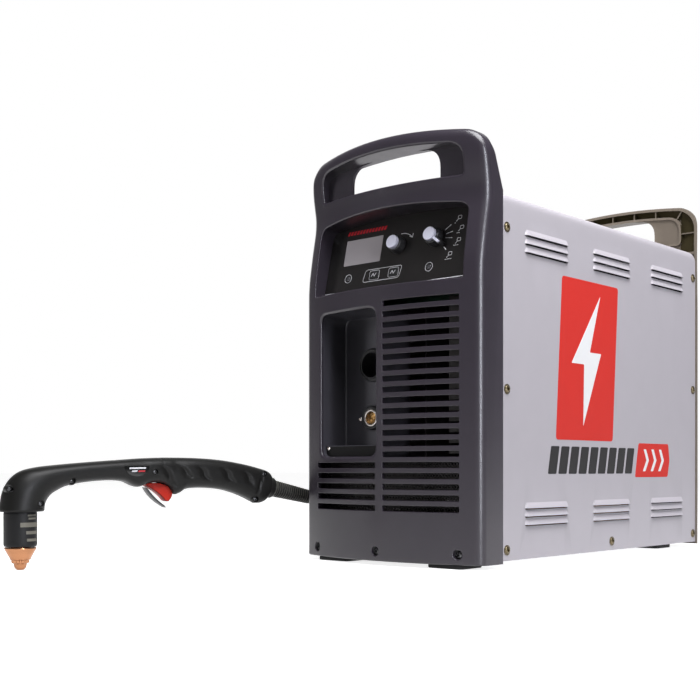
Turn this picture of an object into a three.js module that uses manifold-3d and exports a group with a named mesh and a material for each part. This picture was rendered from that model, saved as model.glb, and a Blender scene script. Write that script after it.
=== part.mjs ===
// Plasma cutter unit with its hand torch and torch lead.
// Millimetres, +Z up. The unit's front faces -Y and its right side, seen from the front, faces +X.
// Everything is laid out with the unit's middle at X = 0 and the floor at Z = 0. At the end the whole
// assembly is moved so that its origin is the bottom centre of the unit and the torch together.

import * as THREE from 'three';
import Module from 'manifold-3d';
import { mergeVertices } from 'three/addons/utils/BufferGeometryUtils.js';

const wasm = await Module();
wasm.setup();

// ---------------------------------------------------------------- driving dimensions

const CLEARANCE = 0.3; // between pieces that touch
const HALF_WIDTH = 137;
const UNIT_HEIGHT = 508;
const BEZEL_BOTTOM = 5;
const BEZEL_WALL = 4;
const FRONT_JOINT = -243; // where the front bezel meets the cover
const REAR_JOINT = 252;
const FRONT_SIDE_DEPTH = 41;
const FRONT_BULGE = 25;
const REAR_SIDE_DEPTH = 10;
const REAR_BULGE = 21;
const EDGE_RADIUS = 9;
const SHOULDER = 430; // height above which a bezel becomes a handle
const COVER = { halfWidth: 135, bottom: 8, top: 432, sheet: 1.6, corner: 10 };
const HANDLE_GAP = { halfWidth: 109, bottom: 449, top: 491, wall: 3.5, gripHalfWidth: 69 };
const PANEL = { lean: 13, height: 385, y: -261.8, halfWidth: 115, bottom: 330, top: 424 };
const BAY = { left: -102, right: 0, bottom: 129, top: 305, back: -248, wall: 2.5, corner: 12 };
const SLOT = { count: 20, first: 308.4, pitch: 12.66, height: 6.8, left: 11, right: 111 };
const LOW_SLOTS = { first: 15, left: -108, right: 0 };
const REAR_WINDOW = { halfWidth: 112, bottom: 250, top: 412, corner: 14 };
const FAN = { x: -62, z: 150, size: 118, hole: 50, rotor: 46, front: 214, back: 246 };

const TORCH = { x: -257, y: -623, heading: 78.18, halfThickness: 17, bevel: 6 };
const TORCH_TAIL = { x: 333, z: 89.5, drop: 12, reliefLength: 62 };

const LEAD_RADIUS = 8.5;
const COIL = { x: -290, y: 120, inner: 76, pitch: 17.3, turns: 3, layers: 4 };
const CONNECTOR = { x: -175, y: 268, z: 26.5, length: 108 };

// ---------------------------------------------------------------- materials

const plastic = (color, roughness = 0.6) => new THREE.MeshStandardMaterial({ color, roughness, metalness: 0 });
const metal = (color, roughness = 0.35) => new THREE.MeshStandardMaterial({ color, roughness, metalness: 1 });

const MATERIAL = {
  bezel: plastic(0x47454b, 0.62),
  cover: plastic(0xc6c4ca, 0.42),
  panel: plastic(0x2d2b2a, 0.5),
  window: plastic(0x969494, 0.2),
  black: plastic(0x1b1b1c, 0.5),
  knobCap: plastic(0xd7d7e6, 0.4),
  led: plastic(0x6f7376, 0.25),
  zinc: metal(0x9da0a4),
  brass: metal(0xc79a4b, 0.3),
  copper: metal(0xd98b62, 0.3),
  board: plastic(0x23573a, 0.5),
  winding: metal(0xa8623a, 0.45),
  rubber: plastic(0x202020, 0.85),
  trigger: plastic(0xd4392c, 0.45),
  torch: plastic(0x343434, 0.65),
  lead: plastic(0x1f1f1f, 0.6),
  bowl: plastic(0xcfd6d8, 0.15),
};

// ---------------------------------------------------------------- solids

const Vec = (x, y, z) => new THREE.Vector3(x, y, z);
const AXIS_BASIS = {
  // Each basis sends an outline's own x, y and its depth to row axes.
  x: new THREE.Matrix4().makeBasis(Vec(0, 1, 0), Vec(0, 0, 1), Vec(1, 0, 0)),
  y: new THREE.Matrix4().makeBasis(Vec(1, 0, 0), Vec(0, 0, 1), Vec(0, -1, 0)),
  z: new THREE.Matrix4(),
};

function toSolid(geometry) {
  const bare = geometry.clone();
  bare.deleteAttribute('normal');
  bare.deleteAttribute('uv');
  const merged = mergeVertices(bare, 1e-4);
  return new wasm.Manifold(new wasm.Mesh({
    numProp: 3,
    vertProperties: new Float32Array(merged.attributes.position.array),
    triVerts: new Uint32Array(merged.index.array),
  }));
}

function toGeometry(solid) {
  const mesh = solid.getMesh();
  const geometry = new THREE.BufferGeometry();
  geometry.setAttribute('position', new THREE.BufferAttribute(new Float32Array(mesh.vertProperties), 3));
  geometry.setIndex(new THREE.BufferAttribute(new Uint32Array(mesh.triVerts), 1));
  geometry.computeVertexNormals();
  return geometry;
}

const join = (...solids) => solids.reduce((all, next) => all.add(next));
const cut = (base, ...tools) => tools.reduce((left, tool) => left.subtract(tool), base);

// A block from its lowest to its highest corner.
function block(x0, x1, y0, y1, z0, z1) {
  const geometry = new THREE.BoxGeometry(x1 - x0, y1 - y0, z1 - z0);
  return toSolid(geometry.translate((x0 + x1) / 2, (y0 + y1) / 2, (z0 + z1) / 2));
}

// An outline extruded along a row axis. On 'y' it runs from the larger Y towards the smaller one.
function prism(shape, axis, from, to, options = {}) {
  const settings = { depth: Math.abs(to - from), bevelEnabled: false, curveSegments: 4, ...options };
  const geometry = new THREE.ExtrudeGeometry(shape, settings).applyMatrix4(AXIS_BASIS[axis]);
  const start = axis === 'y' ? Math.max(from, to) : Math.min(from, to);
  geometry.translate(axis === 'x' ? start : 0, axis === 'y' ? start : 0, axis === 'z' ? start : 0);
  return toSolid(geometry);
}

// A turned piece: profile pairs are [radius, place along the axis], from the axis back to the axis,
// or round a closed ring.
function turned(profile, axis, centre, sides = 24) {
  const points = profile.map(([radius, along]) => new THREE.Vector2(radius, along));
  if (THREE.ShapeUtils.area(points) < 0) points.reverse();
  const geometry = new THREE.LatheGeometry(points, sides);
  if (axis === 'z') geometry.rotateX(Math.PI / 2);
  if (axis === 'x') geometry.rotateZ(-Math.PI / 2);
  geometry.translate(...centre);
  return toSolid(geometry);
}

const rod = (radius, axis, centre, from, to, sides = 24) =>
  turned([[0, from], [radius, from], [radius, to], [0, to]], axis, centre, sides);

function roundedRect(left, right, bottom, top, radius) {
  const shape = new THREE.Shape();
  shape.moveTo(left + radius, bottom);
  shape.lineTo(right - radius, bottom);
  shape.absarc(right - radius, bottom + radius, radius, -Math.PI / 2, 0, false);
  shape.lineTo(right, top - radius);
  shape.absarc(right - radius, top - radius, radius, 0, Math.PI / 2, false);
  shape.lineTo(left + radius, top);
  shape.absarc(left + radius, top - radius, radius, Math.PI / 2, Math.PI, false);
  shape.lineTo(left, bottom + radius);
  shape.absarc(left + radius, bottom + radius, radius, Math.PI, 1.5 * Math.PI, false);
  return shape;
}

// A rounded outline whose top edge is arched: it is `arch` higher in the middle than at its corners.
function archedRect(halfWidth, bottom, top, arch, topRadius, bottomRadius) {
  const shape = new THREE.Shape();
  const shoulder = top - arch;
  shape.moveTo(-halfWidth + bottomRadius, bottom);
  shape.lineTo(halfWidth - bottomRadius, bottom);
  shape.quadraticCurveTo(halfWidth, bottom, halfWidth, bottom + bottomRadius);
  shape.lineTo(halfWidth, shoulder - topRadius);
  shape.quadraticCurveTo(halfWidth, shoulder - 1, halfWidth - topRadius, shoulder);
  shape.quadraticCurveTo(0, top + arch, -halfWidth + topRadius, shoulder);
  shape.quadraticCurveTo(-halfWidth, shoulder - 1, -halfWidth, shoulder - topRadius);
  shape.lineTo(-halfWidth, bottom + bottomRadius);
  shape.quadraticCurveTo(-halfWidth, bottom, -halfWidth + bottomRadius, bottom);
  return shape;
}

function tube(points, radius, sides, steps) {
  const section = new THREE.Shape(
    Array.from({ length: sides }, (_, i) => {
      const angle = (2 * Math.PI * i) / sides;
      return new THREE.Vector2(radius * Math.cos(angle), radius * Math.sin(angle));
    }),
  );
  const path = new THREE.CatmullRomCurve3(points, false, 'centripetal');
  return toSolid(new THREE.ExtrudeGeometry(section, { extrudePath: path, steps, bevelEnabled: false }));
}

const assembly = new THREE.Group();

function place(name, solid, material, parent = assembly) {
  const mesh = new THREE.Mesh(toGeometry(solid), material);
  mesh.name = name;
  parent.add(mesh);
  return mesh;
}

// ---------------------------------------------------------------- bezels

// How far the bezel's plan outline stands out at x: a shallow bow with rounded vertical edges.
function planBow(x, halfWidth, bulge) {
  const across = Math.min(Math.abs(x), halfWidth);
  const intoEdge = Math.max(0, across - (halfWidth - EDGE_RADIUS));
  const edge = EDGE_RADIUS - Math.sqrt(EDGE_RADIUS ** 2 - intoEdge ** 2);
  return bulge * (1 - (across / halfWidth) ** 2) - edge;
}

// The height of the bezel's top at x: a low arch that ends in round corners.
function topLine(x, halfWidth) {
  const arch = 11;
  const corner = 27;
  const across = Math.min(Math.abs(x), halfWidth);
  const intoCorner = Math.max(0, across - (halfWidth - corner));
  const drop = corner - Math.sqrt(corner ** 2 - intoCorner ** 2);
  return UNIT_HEIGHT - arch * (across / halfWidth) ** 2 - drop;
}

// A bezel's outer form, or the same form drawn in by `inset`, as a closed solid.
// It is a side profile swept across the width, then bowed in plan and arched on top.
function bezelForm({ joint, facing, sideDepth, bulge, inset = 0 }) {
  const depth = sideDepth - inset;
  const waist = Math.min(16.5, sideDepth * 0.35);
  const brow = Math.min(8, sideDepth * 0.2);
  const crown = Math.min(8, depth * 0.35);
  const top = UNIT_HEIGHT - inset;
  const start = inset > 0 ? -2 : 0; // a drawn-in form cuts through the open back
  const profile = new THREE.Shape();
  profile.moveTo(start, BEZEL_BOTTOM + inset);
  profile.lineTo(depth, BEZEL_BOTTOM + inset);
  profile.lineTo(depth, 345);
  profile.lineTo(depth - waist * 0.45, 385);
  profile.lineTo(depth - waist, 425);
  profile.lineTo(depth - waist * 0.8, 450);
  profile.lineTo(depth - brow, 480);
  profile.quadraticCurveTo(depth - brow + 1, top, depth - brow - crown, top);
  profile.lineTo(start, top);
  const halfWidth = HALF_WIDTH - inset;
  const stations = [1, 0.985, 0.93, 0.78, 0.56, 0.34, 0.12];
  const across = [...stations.map((s) => -s), ...stations.reverse()].map((s) => s * halfWidth);
  const steps = across.length - 1;
  const settings = { depth: steps, steps, bevelEnabled: false, curveSegments: 2 };
  const geometry = new THREE.ExtrudeGeometry(profile, settings);
  const position = geometry.attributes.position;
  for (let i = 0; i < position.count; i += 1) {
    const out = position.getX(i);
    const up = position.getY(i);
    const x = across[Math.round(position.getZ(i))];
    const outness = THREE.MathUtils.clamp(out / 8, 0, 1);
    const bowed = out + planBow(x, halfWidth, bulge) * outness;
    const share = Math.max(0, (up - SHOULDER) / (UNIT_HEIGHT - SHOULDER));
    const z = up - share * (UNIT_HEIGHT - topLine(x, halfWidth));
    position.setXYZ(i, x, joint + facing * bowed, z);
  }
  return toSolid(facing < 0 ? turnOver(geometry) : geometry);
}

// Swaps two corners of each triangle, for a form that has been mirrored.
function turnOver(geometry) {
  const position = geometry.attributes.position;
  const a = Vec(0, 0, 0);
  const b = Vec(0, 0, 0);
  for (let i = 0; i < position.count; i += 3) {
    a.fromBufferAttribute(position, i + 1);
    b.fromBufferAttribute(position, i + 2);
    position.setXYZ(i + 1, b.x, b.y, b.z);
    position.setXYZ(i + 2, a.x, a.y, a.z);
  }
  return geometry;
}

const FRONT = { joint: FRONT_JOINT, facing: -1, sideDepth: FRONT_SIDE_DEPTH, bulge: FRONT_BULGE };
const REAR = { joint: REAR_JOINT, facing: 1, sideDepth: REAR_SIDE_DEPTH, bulge: REAR_BULGE };

const gapOutline = (grow) => archedRect(
  HANDLE_GAP.halfWidth + grow, HANDLE_GAP.bottom - grow, HANDLE_GAP.top + grow, 5, 20 + grow, 5 + grow,
);
const gripOutline = archedRect(
  HANDLE_GAP.gripHalfWidth, HANDLE_GAP.bottom - 1, HANDLE_GAP.top + 1, 3, 24, 5,
);

// The webs that narrow the finger gap to the grip, as one plate with the grip cut out of it.
function gripWeb(y0, y1) {
  return cut(prism(gapOutline(1), 'y', y0, y1), prism(gripOutline, 'y', y0 - 5, y1 + 5));
}

// The ribs that stiffen the hollow of a handle, seen from its open side.
function handleRibs(y0, y1) {
  const ribs = [-88, -58, -28, 3, 29, 59, 87].map((x) =>
    block(x - 0.9, x + 0.9, y0, y1, HANDLE_GAP.top - 8, UNIT_HEIGHT + 5));
  const sides = [-1, 1].map((side) => {
    const [near, far] = [side * HANDLE_GAP.halfWidth, side * (HALF_WIDTH + 5)].sort((a, b) => a - b);
    return block(near, far, y0, y1, 459.7, 461.5);
  });
  return join(...ribs, ...sides);
}

// A bezel with its hollow back, its handle gap and the ribs of its handle.
function hollowBezel(side, ribs, web, keeps = []) {
  const outer = bezelForm(side);
  const inner = bezelForm({ ...side, inset: BEZEL_WALL });
  const far = side.joint + side.facing * 80;
  const near = side.joint - side.facing * 5;
  const shelf = block(-HALF_WIDTH, HALF_WIDTH, ...[near, far].sort((a, b) => a - b), SHOULDER, SHOULDER + 3.5);
  const channel = prism(gapOutline(HANDLE_GAP.wall), 'y', near, far);
  const hollow = cut(inner, shelf, channel, ribs, ...keeps);
  const open = prism(gapOutline(0), 'y', near, far);
  return join(cut(outer, hollow, open), web.intersect(outer));
}

function panelSpace(grow, near) {
  // The space in front of the leaning control panel, `near` clear of its face.
  const outline = archedRect(
    PANEL.halfWidth + grow, PANEL.bottom - grow, PANEL.top + grow, 6, 14 + grow, 3 + grow,
  );
  const face = new THREE.Shape();
  const rise = Math.tan(THREE.MathUtils.degToRad(PANEL.lean));
  const faceY = (z) => PANEL.y + (z - PANEL.height) * rise - near;
  face.moveTo(-340, 300);
  face.lineTo(faceY(300), 300);
  face.lineTo(faceY(450), 450);
  face.lineTo(-340, 450);
  const halfSpace = prism(face, 'x', -HALF_WIDTH, HALF_WIDTH);
  return prism(outline, 'y', -340, -230).intersect(halfSpace);
}

function slotBlocks() {
  const blocks = [];
  for (let row = 0; row < SLOT.count; row += 1) {
    const z = SLOT.first - row * SLOT.pitch;
    const [z0, z1] = [z - SLOT.height / 2, z + SLOT.height / 2];
    blocks.push(block(SLOT.left, SLOT.right, -340, -262, z0, z1));
    if (row >= LOW_SLOTS.first) {
      blocks.push(block(LOW_SLOTS.left, LOW_SLOTS.right, -340, -262, z0, z1));
    }
  }
  return blocks;
}

// The space behind the front handle, whose back leans forward from just above the cover.
function behindHandle() {
  const back = new THREE.Shape();
  back.moveTo(FRONT_JOINT + 5, COVER.top + 1.5);
  back.lineTo(FRONT_JOINT - 0.5, COVER.top + 1.5);
  back.lineTo(-262.5, 482);
  back.lineTo(-262.5, UNIT_HEIGHT + 5);
  back.lineTo(FRONT_JOINT + 5, UNIT_HEIGHT + 5);
  return prism(back, 'x', -HALF_WIDTH - 5, HALF_WIDTH + 5);
}

function makeFrontBezel() {
  const ribs = handleRibs(-256, -340);
  const web = gripWeb(-272, -268);
  const bezel = hollowBezel(FRONT, ribs, web, [panelSpace(3, 0.4)]);
  const bay = prism(roundedRect(BAY.left, BAY.right, BAY.bottom, BAY.top, BAY.corner), 'y', -340, -250);
  const screws = [-109, 0, 109].map((x) => rod(5.5, 'y', [x, 0, 17], -340, -260, 14));
  return cut(bezel, panelSpace(0, 0), bay, behindHandle(), ...slotBlocks(), ...screws);
}

function makeRearBezel() {
  const ribs = handleRibs(258, 340);
  const web = gripWeb(254, 258);
  const bezel = hollowBezel(REAR, ribs, web);
  const { halfWidth, bottom, top, corner } = REAR_WINDOW;
  const window = prism(roundedRect(-halfWidth, halfWidth, bottom, top, corner), 'y', 240, 340);
  const vents = Array.from({ length: 7 }, (_, row) => {
    const z = 96 + row * 17;
    return [block(-120, -6, 250, 340, z, z + 8), block(6, 120, 250, 340, z, z + 8)];
  });
  return cut(bezel, window, ...vents.flat());
}

place('front_bezel', makeFrontBezel(), MATERIAL.bezel);
place('rear_bezel', makeRearBezel(), MATERIAL.bezel);

// ---------------------------------------------------------------- cover and chassis

const COVER_FRONT = FRONT_JOINT + 0.5;
const COVER_REAR = REAR_JOINT - 0.5;
const LOUVRE = { length: 99, slit: 2.4, rise: 9, out: 3, groups: [-148, 8, 162.5], slits: [388, 378, 368] };
const LOW_LOUVRES = [66.5, 57, 47];

function coverForm(inset) {
  const { halfWidth, bottom, top, corner } = COVER;
  const arch = new THREE.Shape();
  const x = halfWidth - inset;
  const z = top - inset;
  const r = corner - inset * 0.9;
  arch.moveTo(-x, inset > 0 ? bottom - 2 : bottom);
  arch.lineTo(x, inset > 0 ? bottom - 2 : bottom);
  arch.lineTo(x, z - r);
  arch.absarc(x - r, z - r, r, 0, Math.PI / 2, false);
  arch.lineTo(-x + r, z);
  arch.absarc(-x + r, z - r, r, Math.PI / 2, Math.PI, false);
  const extra = inset > 0 ? 2 : 0;
  return prism(arch, 'y', COVER_FRONT - extra, COVER_REAR + extra);
}

// One louvre on the side given by sign: a pressed hood over a slit.
function louvre(sign, y, z) {
  const wall = COVER.halfWidth;
  const hood = new THREE.Shape();
  hood.moveTo(sign * (wall - 0.8), z + LOUVRE.slit / 2);
  hood.lineTo(sign * (wall + LOUVRE.out), z + LOUVRE.slit / 2);
  hood.lineTo(sign * (wall - 0.8), z + LOUVRE.rise);
  const half = LOUVRE.length / 2;
  const slit = [wall - 4, wall + 4].map((x) => sign * x).sort((a, b) => a - b);
  return {
    hood: prism(hood, 'y', y - half, y + half),
    slit: block(...slit, y - half + 3, y + half - 3, z - LOUVRE.slit / 2, z + LOUVRE.slit / 2),
  };
}

function makeCover() {
  const shell = cut(coverForm(0), coverForm(COVER.sheet));
  const louvres = [];
  for (const sign of [-1, 1]) {
    for (const y of LOUVRE.groups) {
      for (const z of [...LOUVRE.slits, ...LOW_LOUVRES]) louvres.push(louvre(sign, y, z));
    }
  }
  const hooded = join(shell, ...louvres.map((l) => l.hood));
  return cut(hooded, ...louvres.map((l) => l.slit));
}

function makeBasePlate() {
  const outer = COVER.halfWidth - COVER.sheet - CLEARANCE;
  const [low, high, rim] = [8.5, 10.5, 34];
  const section = new THREE.Shape();
  section.moveTo(-outer, low);
  section.lineTo(outer, low);
  section.lineTo(outer, rim);
  section.lineTo(outer - 2, rim);
  section.lineTo(outer - 2, high);
  section.lineTo(-outer + 2, high);
  section.lineTo(-outer + 2, rim);
  section.lineTo(-outer, rim);
  return prism(section, 'y', -241, 250);
}

function makeRearPanel() {
  const plate = block(-130, 130, 248, 250, 10.8, 424);
  const fanHole = rod(FAN.hole, 'y', [FAN.x, 0, FAN.z], 240, 260, 32);
  const glandHole = rod(14.5, 'y', [75, 0, 285], 240, 260);
  const switchHole = rod(15.5, 'y', [-72, 0, 355], 240, 260);
  const gasHole = rod(8.3, 'y', [30, 0, 300], 240, 260);
  return cut(plate, fanHole, glandHole, switchHole, gasHole);
}

function makeCentreWall() {
  const wall = block(9, 11, -225, 212, 10.8, 424);
  const passages = [[-120, 330], [150, 330], [-170, 60]].map(([y, z]) => rod(22, 'x', [0, y, z], 0, 20, 16));
  return cut(wall, ...passages);
}

function makeFoot(x, y0, y1, top) {
  const outline = roundedRect(x - 25, x + 25, y0, y1, 6);
  return prism(outline, 'z', 0, top - CLEARANCE, { curveSegments: 3 });
}

place('cover', makeCover(), MATERIAL.cover);
place('base_plate', makeBasePlate(), MATERIAL.zinc);
place('rear_panel', makeRearPanel(), MATERIAL.black);
place('centre_wall', makeCentreWall(), MATERIAL.zinc);
place('front_left_foot', makeFoot(-87, -290, -246, BEZEL_BOTTOM), MATERIAL.rubber);
place('front_right_foot', makeFoot(87, -290, -246, BEZEL_BOTTOM), MATERIAL.rubber);
place('rear_left_foot', makeFoot(-87, 178, 222, 8.5), MATERIAL.rubber);
place('rear_right_foot', makeFoot(87, 178, 222, 8.5), MATERIAL.rubber);

// ---------------------------------------------------------------- control panel

// The panel leans back. In its group x runs right, y runs up the slope and z points out of its face.
const panel = new THREE.Group();
panel.position.set(0, PANEL.y, PANEL.height);
panel.rotation.x = THREE.MathUtils.degToRad(90 - PANEL.lean);
assembly.add(panel);

const LCD = { x: -60.5, y: 1, halfWidth: 30.3, halfHeight: 17 };
const KNOBS = { adjustment: [-1.6, -0.5], mode: [54.7, 1.5] };
const BUTTONS = { display: -35.3, gasTest: -4.8 };
const LEDS = { power: -78.4, fault: 49.8 };
const LOWER_ROW = -33.7; // up the slope, of the buttons and the indicator lights
const POINTER_ANGLE = THREE.MathUtils.degToRad(-38);

function makeControlPanel() {
  const plate = prism(archedRect(118.5, -60, 45, 6, 16, 4), 'z', -3, 0);
  const window = block(
    LCD.x - LCD.halfWidth - CLEARANCE, LCD.x + LCD.halfWidth + CLEARANCE,
    LCD.y - LCD.halfHeight - CLEARANCE, LCD.y + LCD.halfHeight + CLEARANCE, -5, 5,
  );
  const shafts = Object.values(KNOBS).map(([x, y]) => rod(3.4, 'z', [x, y, 0], -5, 5, 12));
  const buttons = Object.values(BUTTONS).map((x) =>
    block(x - 7.3, x + 7.3, LOWER_ROW - 5.3, LOWER_ROW + 5.3, -5, 5));
  const lights = Object.values(LEDS).map((x) => rod(3.3, 'z', [x, LOWER_ROW, 0], -5, 5, 12));
  return cut(plate, window, ...shafts, ...buttons, ...lights);
}

function makeKnob([x, y], radius, skirt) {
  const profile = [
    [0, -12], [3, -12], [3, 0.6], [radius, 0.6], [radius, 4], [radius - 1.2, skirt - 1], [radius - 2, skirt],
    [0, skirt],
  ];
  return turned(profile, 'z', [x, y, 0], 28);
}

// A bar from the knob's middle towards the setting that it points to.
function pointerBar([x, y], length, halfWidth, z0, z1) {
  const geometry = new THREE.BoxGeometry(length, 2 * halfWidth, z1 - z0);
  geometry.translate(length / 2, 0, (z0 + z1) / 2).rotateZ(POINTER_ANGLE).translate(x, y, 0);
  return toSolid(geometry);
}

function makeKnobCap([x, y], radius) {
  return turned([[0, 11.3], [radius, 11.3], [radius, 15], [radius - 1, 16], [0, 16]], 'z', [x, y, 0], 24);
}

place('control_panel', makeControlPanel(), MATERIAL.panel, panel);
place('display_window', block(
  LCD.x - LCD.halfWidth, LCD.x + LCD.halfWidth, LCD.y - LCD.halfHeight, LCD.y + LCD.halfHeight, -3, -0.6,
), MATERIAL.window, panel);
place('adjustment_knob', makeKnob(KNOBS.adjustment, 10.8, 11), MATERIAL.black, panel);
place('adjustment_knob_cap', makeKnobCap(KNOBS.adjustment, 8.4), MATERIAL.knobCap, panel);
place('mode_knob', join(
  makeKnob(KNOBS.mode, 11.5, 11), pointerBar(KNOBS.mode, 19.5, 3, 1, 10.7),
), MATERIAL.black, panel);
place('mode_knob_cap', join(
  makeKnobCap(KNOBS.mode, 8.4), pointerBar(KNOBS.mode, 19, 1.9, 11.3, 14),
), MATERIAL.knobCap, panel);
for (const [name, x] of [['display_button', BUTTONS.display], ['gas_test_button', BUTTONS.gasTest]]) {
  const outline = roundedRect(x - 7, x + 7, LOWER_ROW - 5, LOWER_ROW + 5, 2);
  place(name, prism(outline, 'z', -2.6, 1.1, { curveSegments: 3 }), MATERIAL.black, panel);
}
for (const [name, x] of [['power_light', LEDS.power], ['fault_light', LEDS.fault]]) {
  const dome = [[0, -3], [3, -3], [3, 0.2], [1.8, 0.9], [0, 1.2]];
  place(name, turned(dome, 'z', [x, LOWER_ROW, 0], 12), MATERIAL.led, panel);
}

// ---------------------------------------------------------------- connector bay

const RECEPTACLE = { x: -53, z: 244, radius: 21 };
const WORK_SOCKET = { x: -55, z: 178, radius: 15.5 };

function makeConnectorBay() {
  const { left, right, bottom, top, back, wall, corner } = BAY;
  const shell = roundedRect(left - wall, right + wall, bottom - wall, top + wall, corner + wall);
  const behindBezel = bezelForm({ ...FRONT, inset: BEZEL_WALL + 0.4 });
  const outer = prism(shell, 'y', -340, back + wall).intersect(behindBezel);
  const room = prism(roundedRect(left, right, bottom, top, corner), 'y', -340, back);
  const ramp = new THREE.Shape();
  ramp.moveTo(-286, bottom - 1);
  ramp.lineTo(back + 1, bottom - 1);
  ramp.lineTo(back + 1, 143);
  ramp.lineTo(back - 4, 143);
  const holes = [
    rod(RECEPTACLE.radius - 2.5, 'y', [RECEPTACLE.x, 0, RECEPTACLE.z], -255, -240),
    rod(WORK_SOCKET.radius - 3, 'y', [WORK_SOCKET.x, 0, WORK_SOCKET.z], -255, -240),
  ];
  return cut(join(cut(outer, room), prism(ramp, 'x', left + 6, right - 6)), ...holes);
}

// A panel socket: a flange in front of the bay's back wall and a barrel through it, open to the front.
function makeSocket({ x, z, radius }, barrel, bore, depth) {
  const face = BAY.back - CLEARANCE;
  const profile = [
    [0, face + depth - 3], [bore, face + depth - 3], [bore, face - 6], [radius - 1.5, face - 6],
    [radius, face - 4.5], [radius, face], [barrel, face], [barrel, face + depth], [0, face + depth],
  ];
  return turned(profile, 'y', [x, 0, z], 28);
}

place('connector_bay', makeConnectorBay(), MATERIAL.bezel);
place('torch_receptacle', makeSocket(RECEPTACLE, 18.2, 15.5, 38), MATERIAL.black);
place('work_lead_socket', makeSocket(WORK_SOCKET, 12.2, 11, 30), MATERIAL.black);
place('work_lead_contact', turned([
  [0, -228], [10.6, -228], [10.6, -252], [8.2, -252], [8.2, -236], [2, -236], [2, -249], [0, -249],
], 'y', [WORK_SOCKET.x, 0, WORK_SOCKET.z], 24), MATERIAL.brass);
place('front_screen', block(-126, 126, -262, -260.8, 50, 122), MATERIAL.black);
place('air_baffle', block(74, 126, -262, -260.8, 132, 316), MATERIAL.black);

// ---------------------------------------------------------------- inside the unit

function makeFanFrame() {
  const half = FAN.size / 2;
  const outline = roundedRect(FAN.x - half, FAN.x + half, FAN.z - half, FAN.z + half, 8);
  const frame = prism(outline, 'y', FAN.front, FAN.back, { curveSegments: 3 });
  const opened = cut(frame, rod(FAN.hole, 'y', [FAN.x, 0, FAN.z], 200, 260, 32));
  const hub = rod(17, 'y', [FAN.x, 0, FAN.z], FAN.front, FAN.front + 6, 20);
  const strut = block(FAN.x - FAN.hole - 2, FAN.x + FAN.hole + 2, FAN.front, FAN.front + 4, FAN.z - 3, FAN.z + 3);
  const post = block(FAN.x - 3, FAN.x + 3, FAN.front, FAN.front + 4, FAN.z - FAN.hole - 2, FAN.z + FAN.hole + 2);
  return join(opened, hub, strut, post);
}

function makeFanRotor() {
  const hub = rod(18, 'y', [0, 0, 0], FAN.front + 7, FAN.back - 3, 20);
  const blades = Array.from({ length: 7 }, (_, i) => {
    const blade = new THREE.BoxGeometry(1.8, 26, FAN.rotor - 14);
    blade.rotateZ(0.7).translate(0, (FAN.front + FAN.back) / 2 + 2, (FAN.rotor + 14) / 2);
    return toSolid(blade.rotateY((2 * Math.PI * i) / 7));
  });
  const reach = rod(FAN.rotor, 'y', [0, 0, 0], FAN.front + 7, FAN.back - 3, 40);
  return join(hub, ...blades).intersect(reach).translate([FAN.x, 0, FAN.z]);
}

function makeHeatSink() {
  const profile = new THREE.Shape();
  const [right, web, left, fins, pitch] = [-18, -26, -98, 9, 20];
  profile.moveTo(right, 120);
  profile.lineTo(right, 120 + (fins - 1) * pitch + 5);
  for (let fin = fins - 1; fin >= 0; fin -= 1) {
    const z = 120 + fin * pitch;
    profile.lineTo(left, z + 5);
    profile.lineTo(left, z);
    if (fin > 0) {
      profile.lineTo(web, z);
      profile.lineTo(web, z - pitch + 5);
    }
  }
  return prism(profile, 'y', -60, 120);
}

function makeTransformer() {
  const core = block(22, 112, -70, 50, 11, 101);
  const opened = cut(core, block(20, 114, -42, -18, 31, 81), block(20, 114, -2, 22, 31, 81));
  const winding = block(18, 116, -41, 21, 32, 80);
  return join(opened, cut(winding, block(30, 104, -45, 25, 20, 90)), block(40, 94, -41, 21, 32, 80));
}

function makeSolenoidValve() {
  const body = block(-95, -65, -205, -165, 150, 185);
  const coil = rod(15, 'z', [-80, -185, 0], 184, 232, 20);
  const port = rod(7, 'y', [-80, 0, 167], -222, -200, 14);
  return join(body, coil, port);
}

place('fan_frame', makeFanFrame(), MATERIAL.black);
place('fan_rotor', makeFanRotor(), MATERIAL.black);
place('heat_sink', makeHeatSink(), MATERIAL.zinc);
place('power_board', block(-16, -14, -100, 180, 105, 385), MATERIAL.board);
place('front_capacitor', rod(26, 'x', [0, -40, 345], -84, -18), MATERIAL.black);
place('rear_capacitor', rod(26, 'x', [0, 30, 345], -84, -18), MATERIAL.black);
place('transformer', makeTransformer(), MATERIAL.winding);
place('inductor', turned([
  [18, 35], [46, 35], [50, 40], [50, 80], [46, 85], [18, 85], [18, 35],
], 'x', [0, 140, 62], 28), MATERIAL.winding);
place('control_board', block(-105, 105, -238, -236.4, 315, 420), MATERIAL.board);
place('gas_solenoid_valve', makeSolenoidValve(), MATERIAL.zinc);

// ---------------------------------------------------------------- rear fittings

function makeSwitchBody() {
  const plate = block(-100, -44, 250.4, 254.4, 327, 383);
  const barrel = rod(15, 'y', [-72, 0, 355], 225, 251, 20);
  return join(plate, barrel);
}

function makeSwitchKnob() {
  const base = rod(19, 'y', [0, 0, 0], 254.8, 259, 28);
  const grip = block(-5, 5, 258, 276, -22, 22);
  const rounded = grip.intersect(rod(21, 'y', [0, 0, 0], 250, 280, 28));
  return join(base, rounded).translate([-72, 0, 355]);
}

const hexNut = (across, centre, from, to) => rod(across / Math.sqrt(3), 'y', centre, from, to, 6);

function makeGlandBody() {
  const centre = [75, 0, 285];
  const barrel = rod(14, 'y', centre, 236, 262, 24);
  return cut(join(barrel, hexNut(36, centre, 250.4, 257)), rod(8, 'y', centre, 230, 270));
}

function makeGlandNut() {
  const profile = [[8.5, 262.4], [17, 262.4], [17, 272], [13, 279], [8.5, 279], [8.5, 262.4]];
  return turned(profile, 'y', [75, 0, 285], 24);
}

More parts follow.
